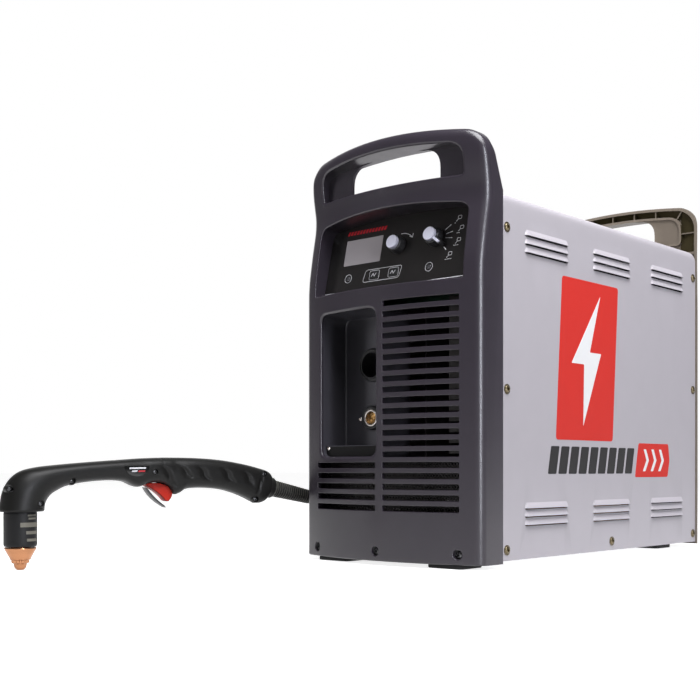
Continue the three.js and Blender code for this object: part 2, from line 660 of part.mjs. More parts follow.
function makeGasInlet() {
  const centre = [30, 0, 300];
  const stem = rod(8, 'y', centre, 232, 268, 20);
  const barb = turned([[0, 266], [7, 266], [8.6, 270], [6.5, 281], [0, 281]], 'y', centre, 20);
  return cut(join(stem, hexNut(22, centre, 250.4, 260), barb), rod(4, 'y', centre, 225, 290, 12));
}

function makeAirFilter() {
  const head = block(32, 88, 205, 245, 232, 262);
  const bowl = turned([[0, 150], [14, 150], [22, 158], [22, 232], [0, 232]], 'z', [60, 225, 0], 24);
  return join(head, bowl);
}

place('power_switch_body', makeSwitchBody(), MATERIAL.black);
place('power_switch_knob', makeSwitchKnob(), MATERIAL.trigger);
place('mains_gland_body', makeGlandBody(), MATERIAL.black);
place('mains_gland_nut', makeGlandNut(), MATERIAL.black);
place('gas_inlet_fitting', makeGasInlet(), MATERIAL.brass);
place('air_filter', makeAirFilter(), MATERIAL.bowl);
place('interface_cover', prism(roundedRect(-34, 4, 332, 378, 4), 'y', 250.4, 253), MATERIAL.zinc);

// ---------------------------------------------------------------- torch

// In the torch's group x runs from the nozzle's axis to the tail, y across it and z up.
const torch = new THREE.Group();
torch.position.set(TORCH.x, TORCH.y, 0);
torch.rotation.z = THREE.MathUtils.degToRad(TORCH.heading);
assembly.add(torch);

function handleOutline() {
  const shape = new THREE.Shape();
  shape.moveTo(-23, 66.3);
  shape.quadraticCurveTo(-22, 108, 17, 116);
  shape.quadraticCurveTo(110, 125, 200, 127.5);
  shape.quadraticCurveTo(262, 127, 317, 114);
  shape.quadraticCurveTo(331, 111, 331, 101);
  shape.lineTo(326, 78);
  shape.quadraticCurveTo(320, 66, 305, 73);
  shape.quadraticCurveTo(262, 91, 220, 90.5);
  shape.quadraticCurveTo(203, 90, 195, 83);
  shape.lineTo(186, 83);
  shape.lineTo(182, 94);
  shape.lineTo(152, 95);
  shape.quadraticCurveTo(142, 88, 134, 96);
  shape.quadraticCurveTo(118, 101, 98, 100);
  shape.quadraticCurveTo(48, 96, 30, 80);
  shape.lineTo(26, 66.3);
  return shape;
}

function makeTorchShell() {
  const bevel = {
    bevelEnabled: true, bevelThickness: TORCH.bevel, bevelSize: TORCH.bevel, bevelOffset: -TORCH.bevel,
    bevelSegments: 2, curveSegments: 4,
  };
  const reach = TORCH.halfThickness - TORCH.bevel;
  const grip = prism(handleOutline(), 'y', -reach, reach, bevel);
  const head = turned([[0, 66.3], [21.5, 66.3], [21.5, 88], [15, 101], [0, 106]], 'z', [1, 0, 0], 24);
  const core = [[0, 60], [0, 84], [10, 99], [30, 106], [80, 109], [150, 112], [230, 107], [290, 99], [340, 88]];
  const duct = tube(core.map(([x, z]) => Vec(x, 0, z)), 9.5, 8, 14);
  const well = rod(15, 'z', [0, 0, 0], 60, 90, 20);
  const skirt = rod(18.9, 'z', [0, 0, 0], 60, 69, 24);
  const pocket = block(147.5, 193.5, -7.5, 7.5, 60, 105);
  return cut(join(grip, head), duct, well, skirt, pocket);
}

function makeTrigger() {
  const shape = new THREE.Shape();
  shape.moveTo(150, 96);
  shape.quadraticCurveTo(170, 100, 184, 92);
  shape.quadraticCurveTo(192, 84, 183, 75);
  shape.quadraticCurveTo(179, 73, 175, 79);
  shape.quadraticCurveTo(167, 87, 156, 92);
  return prism(shape, 'y', -6.5, 6.5, { curveSegments: 4 });
}

function makeTriggerSafety() {
  const shape = new THREE.Shape();
  shape.moveTo(150.5, 91.5);
  shape.quadraticCurveTo(158, 77, 182, 66);
  shape.lineTo(178.5, 72.5);
  shape.quadraticCurveTo(164, 79, 154.5, 90);
  return prism(shape, 'y', -5.5, 5.5, { curveSegments: 5 });
}

const shell = makeTorchShell();
const halfRoom = (y0, y1) => block(-60, 360, y0, y1, 40, 160);
place('torch_handle_left', shell.intersect(halfRoom(-40, -CLEARANCE / 2)), MATERIAL.torch, torch);
place('torch_handle_right', shell.intersect(halfRoom(CLEARANCE / 2, 40)), MATERIAL.torch, torch);
place('torch_head', cut(
  turned([[0, 34], [10, 34], [10, 58], [14.6, 58], [14.6, 86], [0, 86]], 'z', [0, 0, 0], 20),
  rod(5, 'z', [0, 0, 0], 30, 55, 16),
), MATERIAL.brass, torch);
place('retaining_cap', turned([
  [10.4, 33], [16, 27], [17.5, 26], [18.5, 28], [18.5, 68.6], [15, 68.6], [15, 57.6], [10.4, 57.6], [10.4, 33],
], 'z', [0, 0, 0], 24), MATERIAL.black, torch);
place('nozzle', turned([
  [9.8, 33.6], [0.8, 33.6], [0.8, 9], [3.2, 9], [5, 14], [9, 22], [9.8, 26], [9.8, 33.6],
], 'z', [0, 0, 0], 20), MATERIAL.copper, torch);
place('electrode', rod(4.6, 'z', [0, 0, 0], 34, 54.6, 16), MATERIAL.copper, torch);
place('shield', turned([
  [12, 25.6], [17.8, 25.6], [17.8, 24], [11.6, 13.2], [10.4, 13], [9.6, 8.5], [7, 7], [6.2, 3], [3, 0],
  [1.6, 0], [1.6, 7.5], [5.5, 8.5], [12, 22], [12, 25.6],
], 'z', [0, 0, 0], 20), MATERIAL.copper, torch);
place('trigger', makeTrigger(), MATERIAL.trigger, torch);
place('trigger_safety', makeTriggerSafety(), MATERIAL.black, torch);

// The strain relief starts at the torch's tail and slopes down along it.
const relief = new THREE.Group();
relief.position.set(TORCH_TAIL.x, 0, TORCH_TAIL.z);
relief.rotation.y = THREE.MathUtils.degToRad(TORCH_TAIL.drop);
torch.add(relief);
place('strain_relief', turned([
  [0, 0], [11.5, 0], [11.5, 4], [10.6, 5], [9.8, TORCH_TAIL.reliefLength - 2],
  [9.2, TORCH_TAIL.reliefLength], [0, TORCH_TAIL.reliefLength],
], 'x', [0, 0, 0], 20), MATERIAL.rubber, relief);

// ---------------------------------------------------------------- torch lead

function leadRoute() {
  const heading = THREE.MathUtils.degToRad(TORCH.heading);
  const drop = THREE.MathUtils.degToRad(TORCH_TAIL.drop);
  const along = (distance) => {
    const x = TORCH_TAIL.x + distance * Math.cos(drop);
    const z = TORCH_TAIL.z - distance * Math.sin(drop);
    return Vec(TORCH.x + x * Math.cos(heading), TORCH.y + x * Math.sin(heading), z);
  };
  const outer = COIL.x + COIL.inner + (COIL.turns - 1) * COIL.pitch;
  const floor = LEAD_RADIUS + 0.2;
  return [
    along(TORCH_TAIL.reliefLength + CLEARANCE), along(TORCH_TAIL.reliefLength + 25),
    Vec(-168, -175, 52), Vec(-165, -140, 33), Vec(-164, -105, 18), Vec(-164, -70, 10.5),
    Vec(-166, -35, floor), Vec(-171, 10, floor), Vec(-177, 50, floor), Vec(outer, COIL.y - 38, floor),
    Vec(outer, COIL.y - 14, floor),
  ];
}

function tailRoute() {
  const outer = COIL.x + COIL.inner + (COIL.turns - 1) * COIL.pitch;
  const top = LEAD_RADIUS + 0.2 + (COIL.layers - 1) * COIL.pitch;
  return [
    Vec(outer, COIL.y + 14, top), Vec(outer, COIL.y + 26, top - 0.4), Vec(outer + 0.8, 172, 54),
    Vec(-177.5, 200, 43), Vec(-176, 226, 33), Vec(CONNECTOR.x, 250, CONNECTOR.z + 0.3),
    Vec(CONNECTOR.x, CONNECTOR.y - CLEARANCE, CONNECTOR.z),
  ];
}

// The closed outer shape of the coil, with flats where the lead runs into it and out of it.
function makeCoil() {
  const outer = COIL.inner + (COIL.turns - 1) * COIL.pitch + LEAD_RADIUS;
  const inner = COIL.inner - LEAD_RADIUS;
  const top = 2 * LEAD_RADIUS + 0.2 + (COIL.layers - 1) * COIL.pitch;
  const profile = [[inner, 0.2], [outer, 0.2], [outer, top], [inner, top], [inner, 0.2]];
  const ring = turned(profile, 'z', [COIL.x, COIL.y, 0], 32);
  const entry = block(-205, -160, COIL.y - 90, COIL.y - 13.5, -5, 20);
  const exit = block(-205, -160, COIL.y + 13.5, COIL.y + 90, top - 27, top + 5);
  return cut(ring, entry, exit);
}

place('torch_lead', tube(leadRoute(), LEAD_RADIUS, 10, 20), MATERIAL.lead);
place('torch_lead_coil', makeCoil(), MATERIAL.lead);
place('torch_lead_tail', tube(tailRoute(), LEAD_RADIUS, 10, 9), MATERIAL.lead);
place('lead_connector', turned([
  [0, 0], [13, 0], [14, 2], [14, 24], [20, 30], [22, 44], [22, 58], [26, 60], [26, 84], [21, 86],
  [21, CONNECTOR.length], [17.5, CONNECTOR.length], [17.5, 90], [0, 90],
], 'y', [CONNECTOR.x, CONNECTOR.y, CONNECTOR.z], 20), MATERIAL.black);

// ---------------------------------------------------------------- origin

const ON_THE_LEAD = ['torch_lead', 'torch_lead_coil', 'torch_lead_tail', 'lead_connector', 'strain_relief'];
assembly.updateMatrixWorld(true);
const box = new THREE.Box3();
assembly.traverse((item) => {
  if (item.isMesh && !ON_THE_LEAD.includes(item.name)) box.expandByObject(item, true);
});
const centre = box.getCenter(Vec(0, 0, 0));
assembly.position.set(-centre.x, -centre.y, -box.min.z);
assembly.updateMatrixWorld(true);

export default assembly;
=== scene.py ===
"""Looks of a plasma cutter unit with its hand torch and coiled torch lead.

Places are in millimetres in the unit's own frame: X = 0 is the unit's middle, Y = 0 lies between its
bezels, Z = 0 is the floor, and the front faces -Y. unit() turns them into the row frame's metres.
"""

import math

import bmesh
import bpy
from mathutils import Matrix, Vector
from mathutils.bvhtree import BVHTree


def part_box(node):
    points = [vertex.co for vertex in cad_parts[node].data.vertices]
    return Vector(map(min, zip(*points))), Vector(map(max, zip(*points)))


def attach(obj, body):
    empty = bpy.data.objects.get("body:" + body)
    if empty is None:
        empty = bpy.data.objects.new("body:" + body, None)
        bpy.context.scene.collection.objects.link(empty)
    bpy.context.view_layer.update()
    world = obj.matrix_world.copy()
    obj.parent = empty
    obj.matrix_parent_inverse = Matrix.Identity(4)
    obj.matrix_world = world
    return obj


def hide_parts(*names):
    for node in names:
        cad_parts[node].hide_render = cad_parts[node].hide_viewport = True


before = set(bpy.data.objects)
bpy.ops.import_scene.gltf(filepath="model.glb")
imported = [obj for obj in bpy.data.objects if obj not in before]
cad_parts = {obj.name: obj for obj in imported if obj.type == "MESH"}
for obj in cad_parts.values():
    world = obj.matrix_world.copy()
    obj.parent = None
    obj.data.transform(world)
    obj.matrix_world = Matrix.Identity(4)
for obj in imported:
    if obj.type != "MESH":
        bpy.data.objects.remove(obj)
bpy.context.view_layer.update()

# ---------------------------------------------------------------- places

MM = 0.001
BASE_FRONT = 241  # how far the base plate's front edge is in front of Y = 0
base_low, base_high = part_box("base_plate")
ORIGIN = Vector(((base_low.x + base_high.x) / 2, base_low.y + BASE_FRONT * MM, 0))

LEAN = math.radians(13)  # of the control panel, whose middle is at PANEL_Y and PANEL_Z
PANEL_Y = -261.8
PANEL_Z = 385
TORCH_X = -257  # the nozzle's axis
TORCH_Y = -623
HEADING = math.radians(78.18)  # from the nozzle to the torch's tail, seen from above
TAIL_X = 333  # where the strain relief starts, in the torch's frame
TAIL_Z = 89.5
TAIL_DROP = math.radians(12)
RELIEF_LENGTH = 62
COVER_X = 135


def unit(point):
    """From the unit's frame in millimetres to the row frame in metres."""
    return ORIGIN + Vector(point) * MM


def on_panel(point):
    """From the leaning control panel: x right, y up its slope, z out of its face."""
    x, y, z = point
    forward = PANEL_Y + y * math.sin(LEAN) - z * math.cos(LEAN)
    return unit((x, forward, PANEL_Z + y * math.cos(LEAN) + z * math.sin(LEAN)))


def in_torch(point):
    """From the torch: u from the nozzle's axis to the tail, v across, z up."""
    u, v, z = point
    x = TORCH_X + u * math.cos(HEADING) - v * math.sin(HEADING)
    return unit((x, TORCH_Y + u * math.sin(HEADING) + v * math.cos(HEADING), z))


def in_relief(point):
    """From the strain relief: along it, across it, and out of its upper side."""
    along, across, up = point
    u = TAIL_X + along * math.cos(TAIL_DROP) + up * math.sin(TAIL_DROP)
    return in_torch((u, across, TAIL_Z - along * math.sin(TAIL_DROP) + up * math.cos(TAIL_DROP)))


def on_side(point):
    """From the cover's right side: y along it, z up, and out of its face."""
    y, z, out = point
    return unit((COVER_X + out, y, z))


# ---------------------------------------------------------------- camera

def make_camera():
    data = bpy.data.cameras.new("camera")
    data.lens = 58.55
    data.sensor_width = 36
    data.shift_y = 0.171
    data.clip_start = 0.01
    camera = bpy.data.objects.new("camera", data)
    camera.location = unit((882.05, -1324.19, 113.14))
    camera.rotation_euler = (math.pi / 2, 0, math.radians(42.234))
    bpy.context.scene.collection.objects.link(camera)
    bpy.context.scene.camera = camera


make_camera()

# ---------------------------------------------------------------- materials

COLOR_LOW, COLOR_HIGH = 6, 7  # the colour mix node's two inputs


def shade(color, change, lift=0.0):
    """A colour made darker or brighter, as a socket takes it."""
    return [min(1, c * change + lift) for c in color] + [1]


def look(name, color, rough, metallic, drift, grain, size, settings=()):
    """A procedural finish: drifting colour and roughness, a fine grain in relief and worn edges.

    Of the settings, wear is how far edges are rubbed bright and streak stretches the noise along z.
    The others are the shader's own sockets.
    """
    sockets = dict(settings, Metallic=metallic)
    wear = sockets.pop("wear", 0)
    streak = sockets.pop("streak", 0)
    material = bpy.data.materials.new(name)
    material.use_nodes = True
    nodes = material.node_tree.nodes
    link_up = material.node_tree.links.new
    shader = nodes["Principled BSDF"]

    def node(kind, **inputs):
        made = nodes.new("ShaderNode" + kind)
        for socket, value in inputs.items():
            made.inputs[socket.replace("_", " ")].default_value = value
        return made

    def color_mix(share):
        mix = node("Mix")
        mix.data_type = "RGBA"
        link_up(share, mix.inputs[0])
        return mix

    for socket, value in sockets.items():
        shader.inputs[socket.replace("_", " ")].default_value = value
    where = node("TexCoord")
    stretch = node("Mapping", Scale=(1000, 1000, 1000 / (1 + streak)))
    link_up(where.outputs["Object"], stretch.inputs["Vector"])
    clouds = node("TexNoise", Scale=0.035, Detail=5)
    link_up(stretch.outputs["Vector"], clouds.inputs["Vector"])
    tint = color_mix(clouds.outputs["Fac"])
    tint.inputs[COLOR_LOW].default_value = shade(color, 1 - drift)
    tint.inputs[COLOR_HIGH].default_value = shade(color, 1 + drift)
    base = tint.outputs[2]

    fine = node("TexNoise", Scale=1 / size, Detail=3)
    link_up(stretch.outputs["Vector"], fine.inputs["Vector"])
    gloss = node("MapRange", To_Min=rough * 0.86, To_Max=min(1, rough * 1.14))
    link_up(fine.outputs["Fac"], gloss.inputs["Value"])
    link_up(gloss.outputs["Result"], shader.inputs["Roughness"])
    if grain:
        relief = node("Bump", Strength=0.6, Distance=grain * MM)
        link_up(fine.outputs["Fac"], relief.inputs["Height"])
        link_up(relief.outputs["Normal"], shader.inputs["Normal"])
    if wear:
        edges = node("NewGeometry")
        ridge = node("MapRange", From_Min=0.52, From_Max=0.62, To_Max=wear)
        link_up(edges.outputs["Pointiness"], ridge.inputs["Value"])
        rubbed = color_mix(ridge.outputs["Result"])
        link_up(base, rubbed.inputs[COLOR_LOW])
        rubbed.inputs[COLOR_HIGH].default_value = shade(color, 1.9, 0.02)
        base = rubbed.outputs[2]
    link_up(base, shader.inputs["Base Color"])
    return material


# finish: (material, colour, roughness, metallic, drift, grain in mm, grain size in mm, other settings)
FINISHES = {
    "bezel": ("bezel_plastic", (0.03, 0.0245, 0.034), 0.29, 0, 0.12, 0.06, 0.55, dict(wear=0.25)),
    "bay": ("bay_plastic", (0.055, 0.053, 0.064), 0.36, 0, 0.12, 0.02, 0.55, dict(Specular_IOR_Level=0.45)),
    # sill: near black, painted shade on the front faces of the bay's sill
    "sill": ("sill_plastic", (0.01, 0.0095, 0.01), 0.4, 0, 0.12, 0.02, 0.55, dict(Specular_IOR_Level=0.15)),
    "rear_bezel": ("rear_bezel_plastic", (0.135, 0.112, 0.088), 0.42, 0, 0.1, 0.08, 0.55, dict(wear=0.4)),
    # hollow: painted shade for the inside of the rear handle
    "hollow": ("handle_hollow_plastic", (0.026, 0.02, 0.007), 0.6, 0, 0.2, 0.08, 0.55,
               dict(Specular_IOR_Level=0.2)),
    "cover": ("cover_paint", (0.43, 0.405, 0.435), 0.36, 0, 0.03, 0.035, 1.1,
              dict(wear=0.15, Specular_IOR_Level=0.4)),
    "sheet": ("zinc_sheet", (0.46, 0.47, 0.49), 0.36, 0.95, 0.1, 0.01, 0.4, dict(streak=6)),
    # black sheet, also used as painted shade on zinc parts seen through the front slots
    "black_sheet": ("black_sheet", (0.022, 0.019, 0.019), 0.5, 0, 0.15, 0.03, 0.6),
    "rubber": ("rubber", (0.018, 0.018, 0.019), 0.82, 0, 0.2, 0.06, 0.4),
    # relief: lighter than the grooves' rubber, a painted highlight on the ribs' crests
    "relief": ("relief_rubber", (0.075, 0.073, 0.062), 0.4, 0, 0.15, 0.03, 0.4),
    "cap_mark": ("cap_mark_print", (0.17, 0.16, 0.13), 0.6, 0, 0.3, 0.03, 0.4),
    "panel": ("panel_overlay", (0.013, 0.0115, 0.0115), 0.42, 0, 0.08, 0.012, 0.25,
              dict(Specular_IOR_Level=0.4)),
    "display": ("display_crystal", (0.34, 0.315, 0.335), 0.42, 0, 0.05, 0.004, 0.3, dict(Coat_Weight=0.15)),
    "black": ("black_plastic", (0.012, 0.012, 0.013), 0.42, 0, 0.2, 0.02, 0.35, dict(wear=0.3)),
    "gloss": ("gloss_black", (0.003, 0.003, 0.003), 0.2, 0, 0.3, 0, 0.5),
    "cap": ("knob_cap_plastic", (0.66, 0.66, 0.78), 0.34, 0, 0.03, 0.008, 0.3),
    "lens": ("smoked_lens", (0.05, 0.05, 0.055), 0.12, 0, 0.1, 0, 0.5, dict(Coat_Weight=0.8)),
    "print": ("white_print", (0.72, 0.72, 0.76), 0.5, 0, 0.05, 0, 0.5),
    "red_print": ("red_print", (0.5, 0.014, 0.025), 0.5, 0, 0.05, 0, 0.5),
    "red_vinyl": ("red_vinyl", (0.6, 0.022, 0.014), 0.48, 0, 0.03, 0.006, 0.8,
                  dict(Specular_IOR_Level=0.2)),
    "black_vinyl": ("black_vinyl", (0.01, 0.009, 0.01), 0.45, 0, 0.08, 0.006, 0.8,
                    dict(Specular_IOR_Level=0.3)),
    "white_vinyl": ("white_vinyl", (0.8, 0.8, 0.8), 0.36, 0, 0.02, 0.006, 0.8),
    "bronze": ("bronze_screw", (0.13, 0.105, 0.06), 0.34, 0.9, 0.2, 0.01, 0.3, dict(wear=0.5)),
    "brass": ("brass", (0.62, 0.4, 0.16), 0.28, 1, 0.1, 0.005, 0.3),
    "dark_steel": ("blackened_steel", (0.07, 0.07, 0.073), 0.28, 0.9, 0.2, 0.01, 0.3, dict(wear=0.5)),
    "nickel": ("nickel_plate", (0.75, 0.69, 0.65), 0.26, 1, 0.05, 0.005, 0.3),
    "copper": ("machined_copper", (0.38, 0.178, 0.09), 0.24, 1, 0.2, 0.03, 0.35, dict(streak=-0.8)),
    "winding": ("copper_winding", (0.42, 0.19, 0.08), 0.4, 0.6, 0.25, 0.2, 1.6, dict(streak=9)),
    # board: a green darkened almost to black, as painted shade seen through the slots
    "board": ("circuit_board", (0.006, 0.03, 0.015), 0.5, 0, 0.25, 0.03, 1.2),
    "aluminium": ("extruded_aluminium", (0.6, 0.6, 0.62), 0.34, 1, 0.06, 0.01, 0.3, dict(streak=9)),
    "torch": ("torch_plastic", (0.0085, 0.0083, 0.0078), 0.42, 0, 0.12, 0.06, 0.45,
              dict(wear=0.3, Specular_IOR_Level=0.2)),
    "cap_shell": ("retaining_cap_plastic", (0.009, 0.009, 0.0098), 0.5, 0, 0.25, 0.05, 0.6,
                  dict(wear=0.3, Specular_IOR_Level=0.22)),
    "trigger": ("trigger_plastic", (0.62, 0.025, 0.011), 0.45, 0, 0.06, 0.01, 0.4,
                dict(wear=0.15, Specular_IOR_Level=0.25)),
    "lead": ("lead_sheath", (0.016, 0.016, 0.017), 0.5, 0, 0.15, 0.02, 0.5),
    "bowl": ("filter_bowl", (0.6, 0.64, 0.66), 0.14, 0, 0.03, 0, 0.5, dict(Transmission_Weight=0.7)),
}
LOOKS = {finish: look(*row) for finish, row in FINISHES.items()}

# ---------------------------------------------------------------- mesh tools


def link(name, data):
    """A new object in the scene."""
    piece = bpy.data.objects.new(name, data)
    bpy.context.scene.collection.objects.link(piece)
    return piece


def smooth(piece, sharp=35):
    """Merges doubled points, turns every face outwards and keeps only real edges sharp."""
    work = bmesh.new()
    work.from_mesh(piece.data)
    bmesh.ops.remove_doubles(work, verts=work.verts, dist=1e-7)
    bmesh.ops.dissolve_degenerate(work, edges=work.edges, dist=1e-7)
    bmesh.ops.recalc_face_normals(work, faces=work.faces)
    work.to_mesh(piece.data)
    work.free()
    piece.data.shade_smooth()
    piece.data.set_sharp_from_angle(angle=math.radians(sharp))


def build(name, points, faces, place=unit, sharp=35):
    """A mesh from points in the frame that place() turns into the row frame."""
    mesh = bpy.data.meshes.new(name)
    mesh.from_pydata([place(p) for p in points], [], faces)
    piece = link(name, mesh)
    smooth(piece, sharp)
    return piece


def loft(name, rings, place=unit, loop=False, sharp=35):
    """Closed rings of equally many points, joined by faces. Its ends are capped unless it is a loop."""
    count = len(rings[0])
    faces = []
    for r in range(len(rings) if loop else len(rings) - 1):
        low, high = r * count, (r + 1) % len(rings) * count
        faces += [(low + i, low + (i + 1) % count, high + (i + 1) % count, high + i) for i in range(count)]
    if not loop:
        faces.append(tuple(range(count)))
        faces.append(tuple(range((len(rings) - 1) * count, len(rings) * count)))
    return build(name, [p for ring in rings for p in ring], faces, place, sharp)


AXES = {
    "x": lambda a, r, t: (a, r * math.cos(t), r * math.sin(t)),
    "y": lambda a, r, t: (r * math.cos(t), a, r * math.sin(t)),
    "z": lambda a, r, t: (r * math.cos(t), r * math.sin(t), a),
}


def lathe(name, profile, axis, centre=(0, 0, 0), place=unit, sides=48, loop=False, sharp=35, wave=None):
    """A turned piece from (radius, place along the axis) pairs. wave(angle, along) changes the radius."""
    rings = []
    for radius, along in profile:
        ring = []
        for i in range(sides):
            turn = 2 * math.pi * i / sides
            reach = radius + (wave(turn, along) if wave else 0)
            ring.append(tuple(c + d for c, d in zip(centre, AXES[axis](along, reach, turn))))
        rings.append(ring)
    return loft(name, rings, place, loop, sharp)


def knurling(depth, low, high):
    """24 shallow grooves round a turned piece between two places along it, for lathe()."""
    return lambda turn, along: -depth * max(0.0, math.cos(24 * turn)) if low < along < high else 0.0


def fillet(points, radius, steps=4, closed=False):
    """Rounds the corners of a line of points."""
    result = []
    count = len(points)
    for i, corner in enumerate(points):
        if not closed and i in (0, count - 1):
            result.append(tuple(corner))
            continue
        here = Vector(corner)
        back = Vector(points[i - 1]) - here
        ahead = Vector(points[(i + 1) % count]) - here
        start = here + back.normalized() * min(radius, back.length * 0.45)
        end = here + ahead.normalized() * min(radius, ahead.length * 0.45)
        for s in range(steps + 1):
            t = s / steps
            result.append(tuple(start * (1 - t) ** 2 + here * 2 * t * (1 - t) + end * t ** 2))
    return result


def drawn(start, *moves, steps=6):
    """An outline from lines (x, z) and curves (control x, control z, x, z)."""
    points = [Vector(start)]
    for move in moves:
        if len(move) == 2:
            points.append(Vector(move))
            continue
        first, control, last = points[-1], Vector(move[:2]), Vector(move[2:])
        for s in range(1, steps + 1):
            t = s / steps
            points.append(first * (1 - t) ** 2 + control * 2 * t * (1 - t) + last * t ** 2)
    if (points[0] - points[-1]).length < 1e-6:
        points.pop()
    return [tuple(p) for p in points]


def rounded(left, right, bottom, top, radius, steps=5):
    """A rectangle with round corners."""
    corners = [(left, bottom), (right, bottom), (right, top), (left, top)]
    return fillet(corners, radius, steps, closed=True)


def arched(half, bottom, top, arch, top_radius, bottom_radius):
    """A rounded outline whose top edge is an arch, higher in the middle by `arch`."""
    shoulder = top - arch
    return drawn(
        (-half + bottom_radius, bottom), (half - bottom_radius, bottom),
        (half, bottom, half, bottom + bottom_radius), (half, shoulder - top_radius),
        (half, shoulder - 1, half - top_radius, shoulder),
        (0, top + arch, -half + top_radius, shoulder),
        (-half, shoulder - 1, -half, shoulder - top_radius), (-half, bottom + bottom_radius),
        (-half, bottom, -half + bottom_radius, bottom), steps=8,
    )


def divided(outline, longest):
    """The same outline with no stretch longer than `longest`."""
    result = []
    for i, start in enumerate(outline):
        end = outline[(i + 1) % len(outline)]
        parts = max(1, math.ceil(math.dist(start, end) / longest))
        result += [tuple(Vector(start).lerp(Vector(end), s / parts)) for s in range(parts)]
    return result


def grown(outline, reach):
    """An anticlockwise outline moved outwards by `reach`."""
    result = []
    count = len(outline)
    for i in range(count):
        here = Vector(outline[i])
        before = (here - Vector(outline[i - 1])).normalized()
        after = (Vector(outline[(i + 1) % count]) - here).normalized()
        normal = Vector((before.y + after.y, -before.x - after.x)) / (1 + max(-0.6, before.dot(after)))
        result.append(tuple(here + normal * reach))
    return result


def slab(name, outline, back, front, plane, bevel=0.0, place=unit, steps=3, sharp=35):
    """A plate between two depths with rounded rims. plane(a, b, depth) gives the place of a point."""
    sign = 1 if front > back else -1
    rims = []
    for s in range(steps + 1 if bevel else 1):
        turn = math.pi / 2 * s / steps
        rims.append((-bevel * (1 - math.sin(turn)), back + sign * bevel * (1 - math.cos(turn))))
    levels = rims + [(inset, front - sign * abs(depth - back)) for inset, depth in reversed(rims)]
    rings = [[plane(a, b, depth) for a, b in grown(outline, inset)] for inset, depth in levels]
    return loft(name, rings, place, sharp=sharp)


def facing_y(x, z, y):
    """Outlines drawn as (x, z), with their depth along y."""
    return (x, y, z)


def flat(x, y, z):
    """Outlines drawn as (x, y), with their depth along z."""
    return (x, y, z)


def wheel(count):
    """Evenly spaced angles once round."""
    return [2 * math.pi * i / count for i in range(count)]


def box(name, x0, x1, y0, y1, z0, z1, bevel=0.0):
    return slab(name, [(x0, y0), (x1, y0), (x1, y1), (x0, y1)], z0, z1, flat, bevel, unit, 2, 50)


def bake(piece):
    """Applies the piece's modifiers to its mesh."""
    graph = bpy.context.evaluated_depsgraph_get()
    mesh = bpy.data.meshes.new_from_object(piece.evaluated_get(graph))
    piece.modifiers.clear()
    piece.data = mesh


def combined(name, pieces):
    """One piece from several that don't need to be joined up."""
    work = bmesh.new()
    for piece in pieces:
        work.from_mesh(piece.data)
        bpy.data.objects.remove(piece)
    mesh = bpy.data.meshes.new(name)
    work.to_mesh(mesh)
    work.free()
    return link(name, mesh)


def carve(piece, cutters, operation="DIFFERENCE", sharp=35):
    """Cuts pieces that don't overlap each other out of a piece, or joins them on, and uses them up."""
    tool = combined("tool", cutters)
    change = piece.modifiers.new("carve", "BOOLEAN")
    change.operation = operation
    change.solver = "EXACT"
    change.object = tool
    bake(piece)
    bpy.data.objects.remove(tool)
    smooth(piece, sharp)
    return piece


def dress(piece, finish, body="unit", stands_for=(), even=False):
    """Gives a new piece its finish, its body and the CAD nodes that it stands for."""
    piece.data.materials.clear()
    piece.data.materials.append(LOOKS[finish])
    if even:
        normals = piece.modifiers.new("normals", "WEIGHTED_NORMAL")
        normals.keep_sharp = True
    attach(piece, body)
    if stands_for:
        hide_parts(*stands_for)
    return piece


def keep(node, finish, bevel):
    """Keeps a CAD node and gives it its finish and softened edges."""
    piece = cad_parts[node]
    if not piece.material_slots:
        piece.data.materials.append(None)
    for entry in piece.material_slots:
        entry.material = LOOKS[finish]
    piece.data.shade_smooth()
    weld = piece.modifiers.new("weld", "WELD")
    weld.merge_threshold = 1e-5
    soft = piece.modifiers.new("soft_edges", "BEVEL")
    soft.width = bevel * MM
    soft.segments = 2
    soft.limit_method = "ANGLE"
    soft.angle_limit = math.radians(40)
    normals = piece.modifiers.new("normals", "WEIGHTED_NORMAL")
    normals.keep_sharp = True


# ---------------------------------------------------------------- torch lead

LEAD_RADIUS = 8.5
FLOOR_LINE = 8.7  # height of the lead's centre where it lies on the floor
COIL_X = -290
COIL_Y = 120
COIL_INNER = 76
COIL_PITCH = 17.3
COIL_TURNS = 3
COIL_LAYERS = 4
COIL_OUTER = COIL_INNER + (COIL_TURNS - 1) * COIL_PITCH
CONNECTOR_X = -175
CONNECTOR_Y = 268
CONNECTOR_Z = 26.5
PIN_CIRCLE = 9
STEP_ANGLE = 36  # degrees over which a turn steps sideways or up
POINTS_PER_TURN = 40


def eased(value):
    """0 below 0, 1 above 1 and a smooth rise between them."""
    t = min(1.0, max(0.0, value))
    return t * t * (3 - 2 * t)


def coil_route():
    """Layers wound inwards and outwards by turns. Each step comes before the one in the layer below."""
    steps = []
    first_step = 300  # degrees round the coil where the first turn steps inwards
    for layer in range(COIL_LAYERS):
        inwards = layer % 2 == 0
        shift_at = first_step - 2 * layer * STEP_ANGLE
        rise_at = shift_at - STEP_ANGLE
        last_rise = rise_at + 360 * (layer * COIL_TURNS + COIL_TURNS - 1)
        steps.append((inwards, shift_at, last_rise))
    route = []
    total = COIL_LAYERS * COIL_TURNS * POINTS_PER_TURN
    for i in range(total + 1):
        angle = 360 * i / POINTS_PER_TURN
        height = 0.0
        place = float(COIL_TURNS - 1)
        for layer, (inwards, shift_at, last_rise) in enumerate(steps):
            if layer < COIL_LAYERS - 1:
                height += eased((angle - last_rise) / STEP_ANGLE)
            for turn in range(COIL_TURNS - 1):
                at = shift_at + 360 * (layer * COIL_TURNS + turn)
                moved = eased((angle - at) / STEP_ANGLE)
                place += -moved if inwards else moved
        radius = COIL_INNER + place * COIL_PITCH
        x = COIL_X + radius * math.cos(math.radians(angle))
        y = COIL_Y + radius * math.sin(math.radians(angle))
        route.append((x, y, FLOOR_LINE + height * COIL_PITCH))
    return route


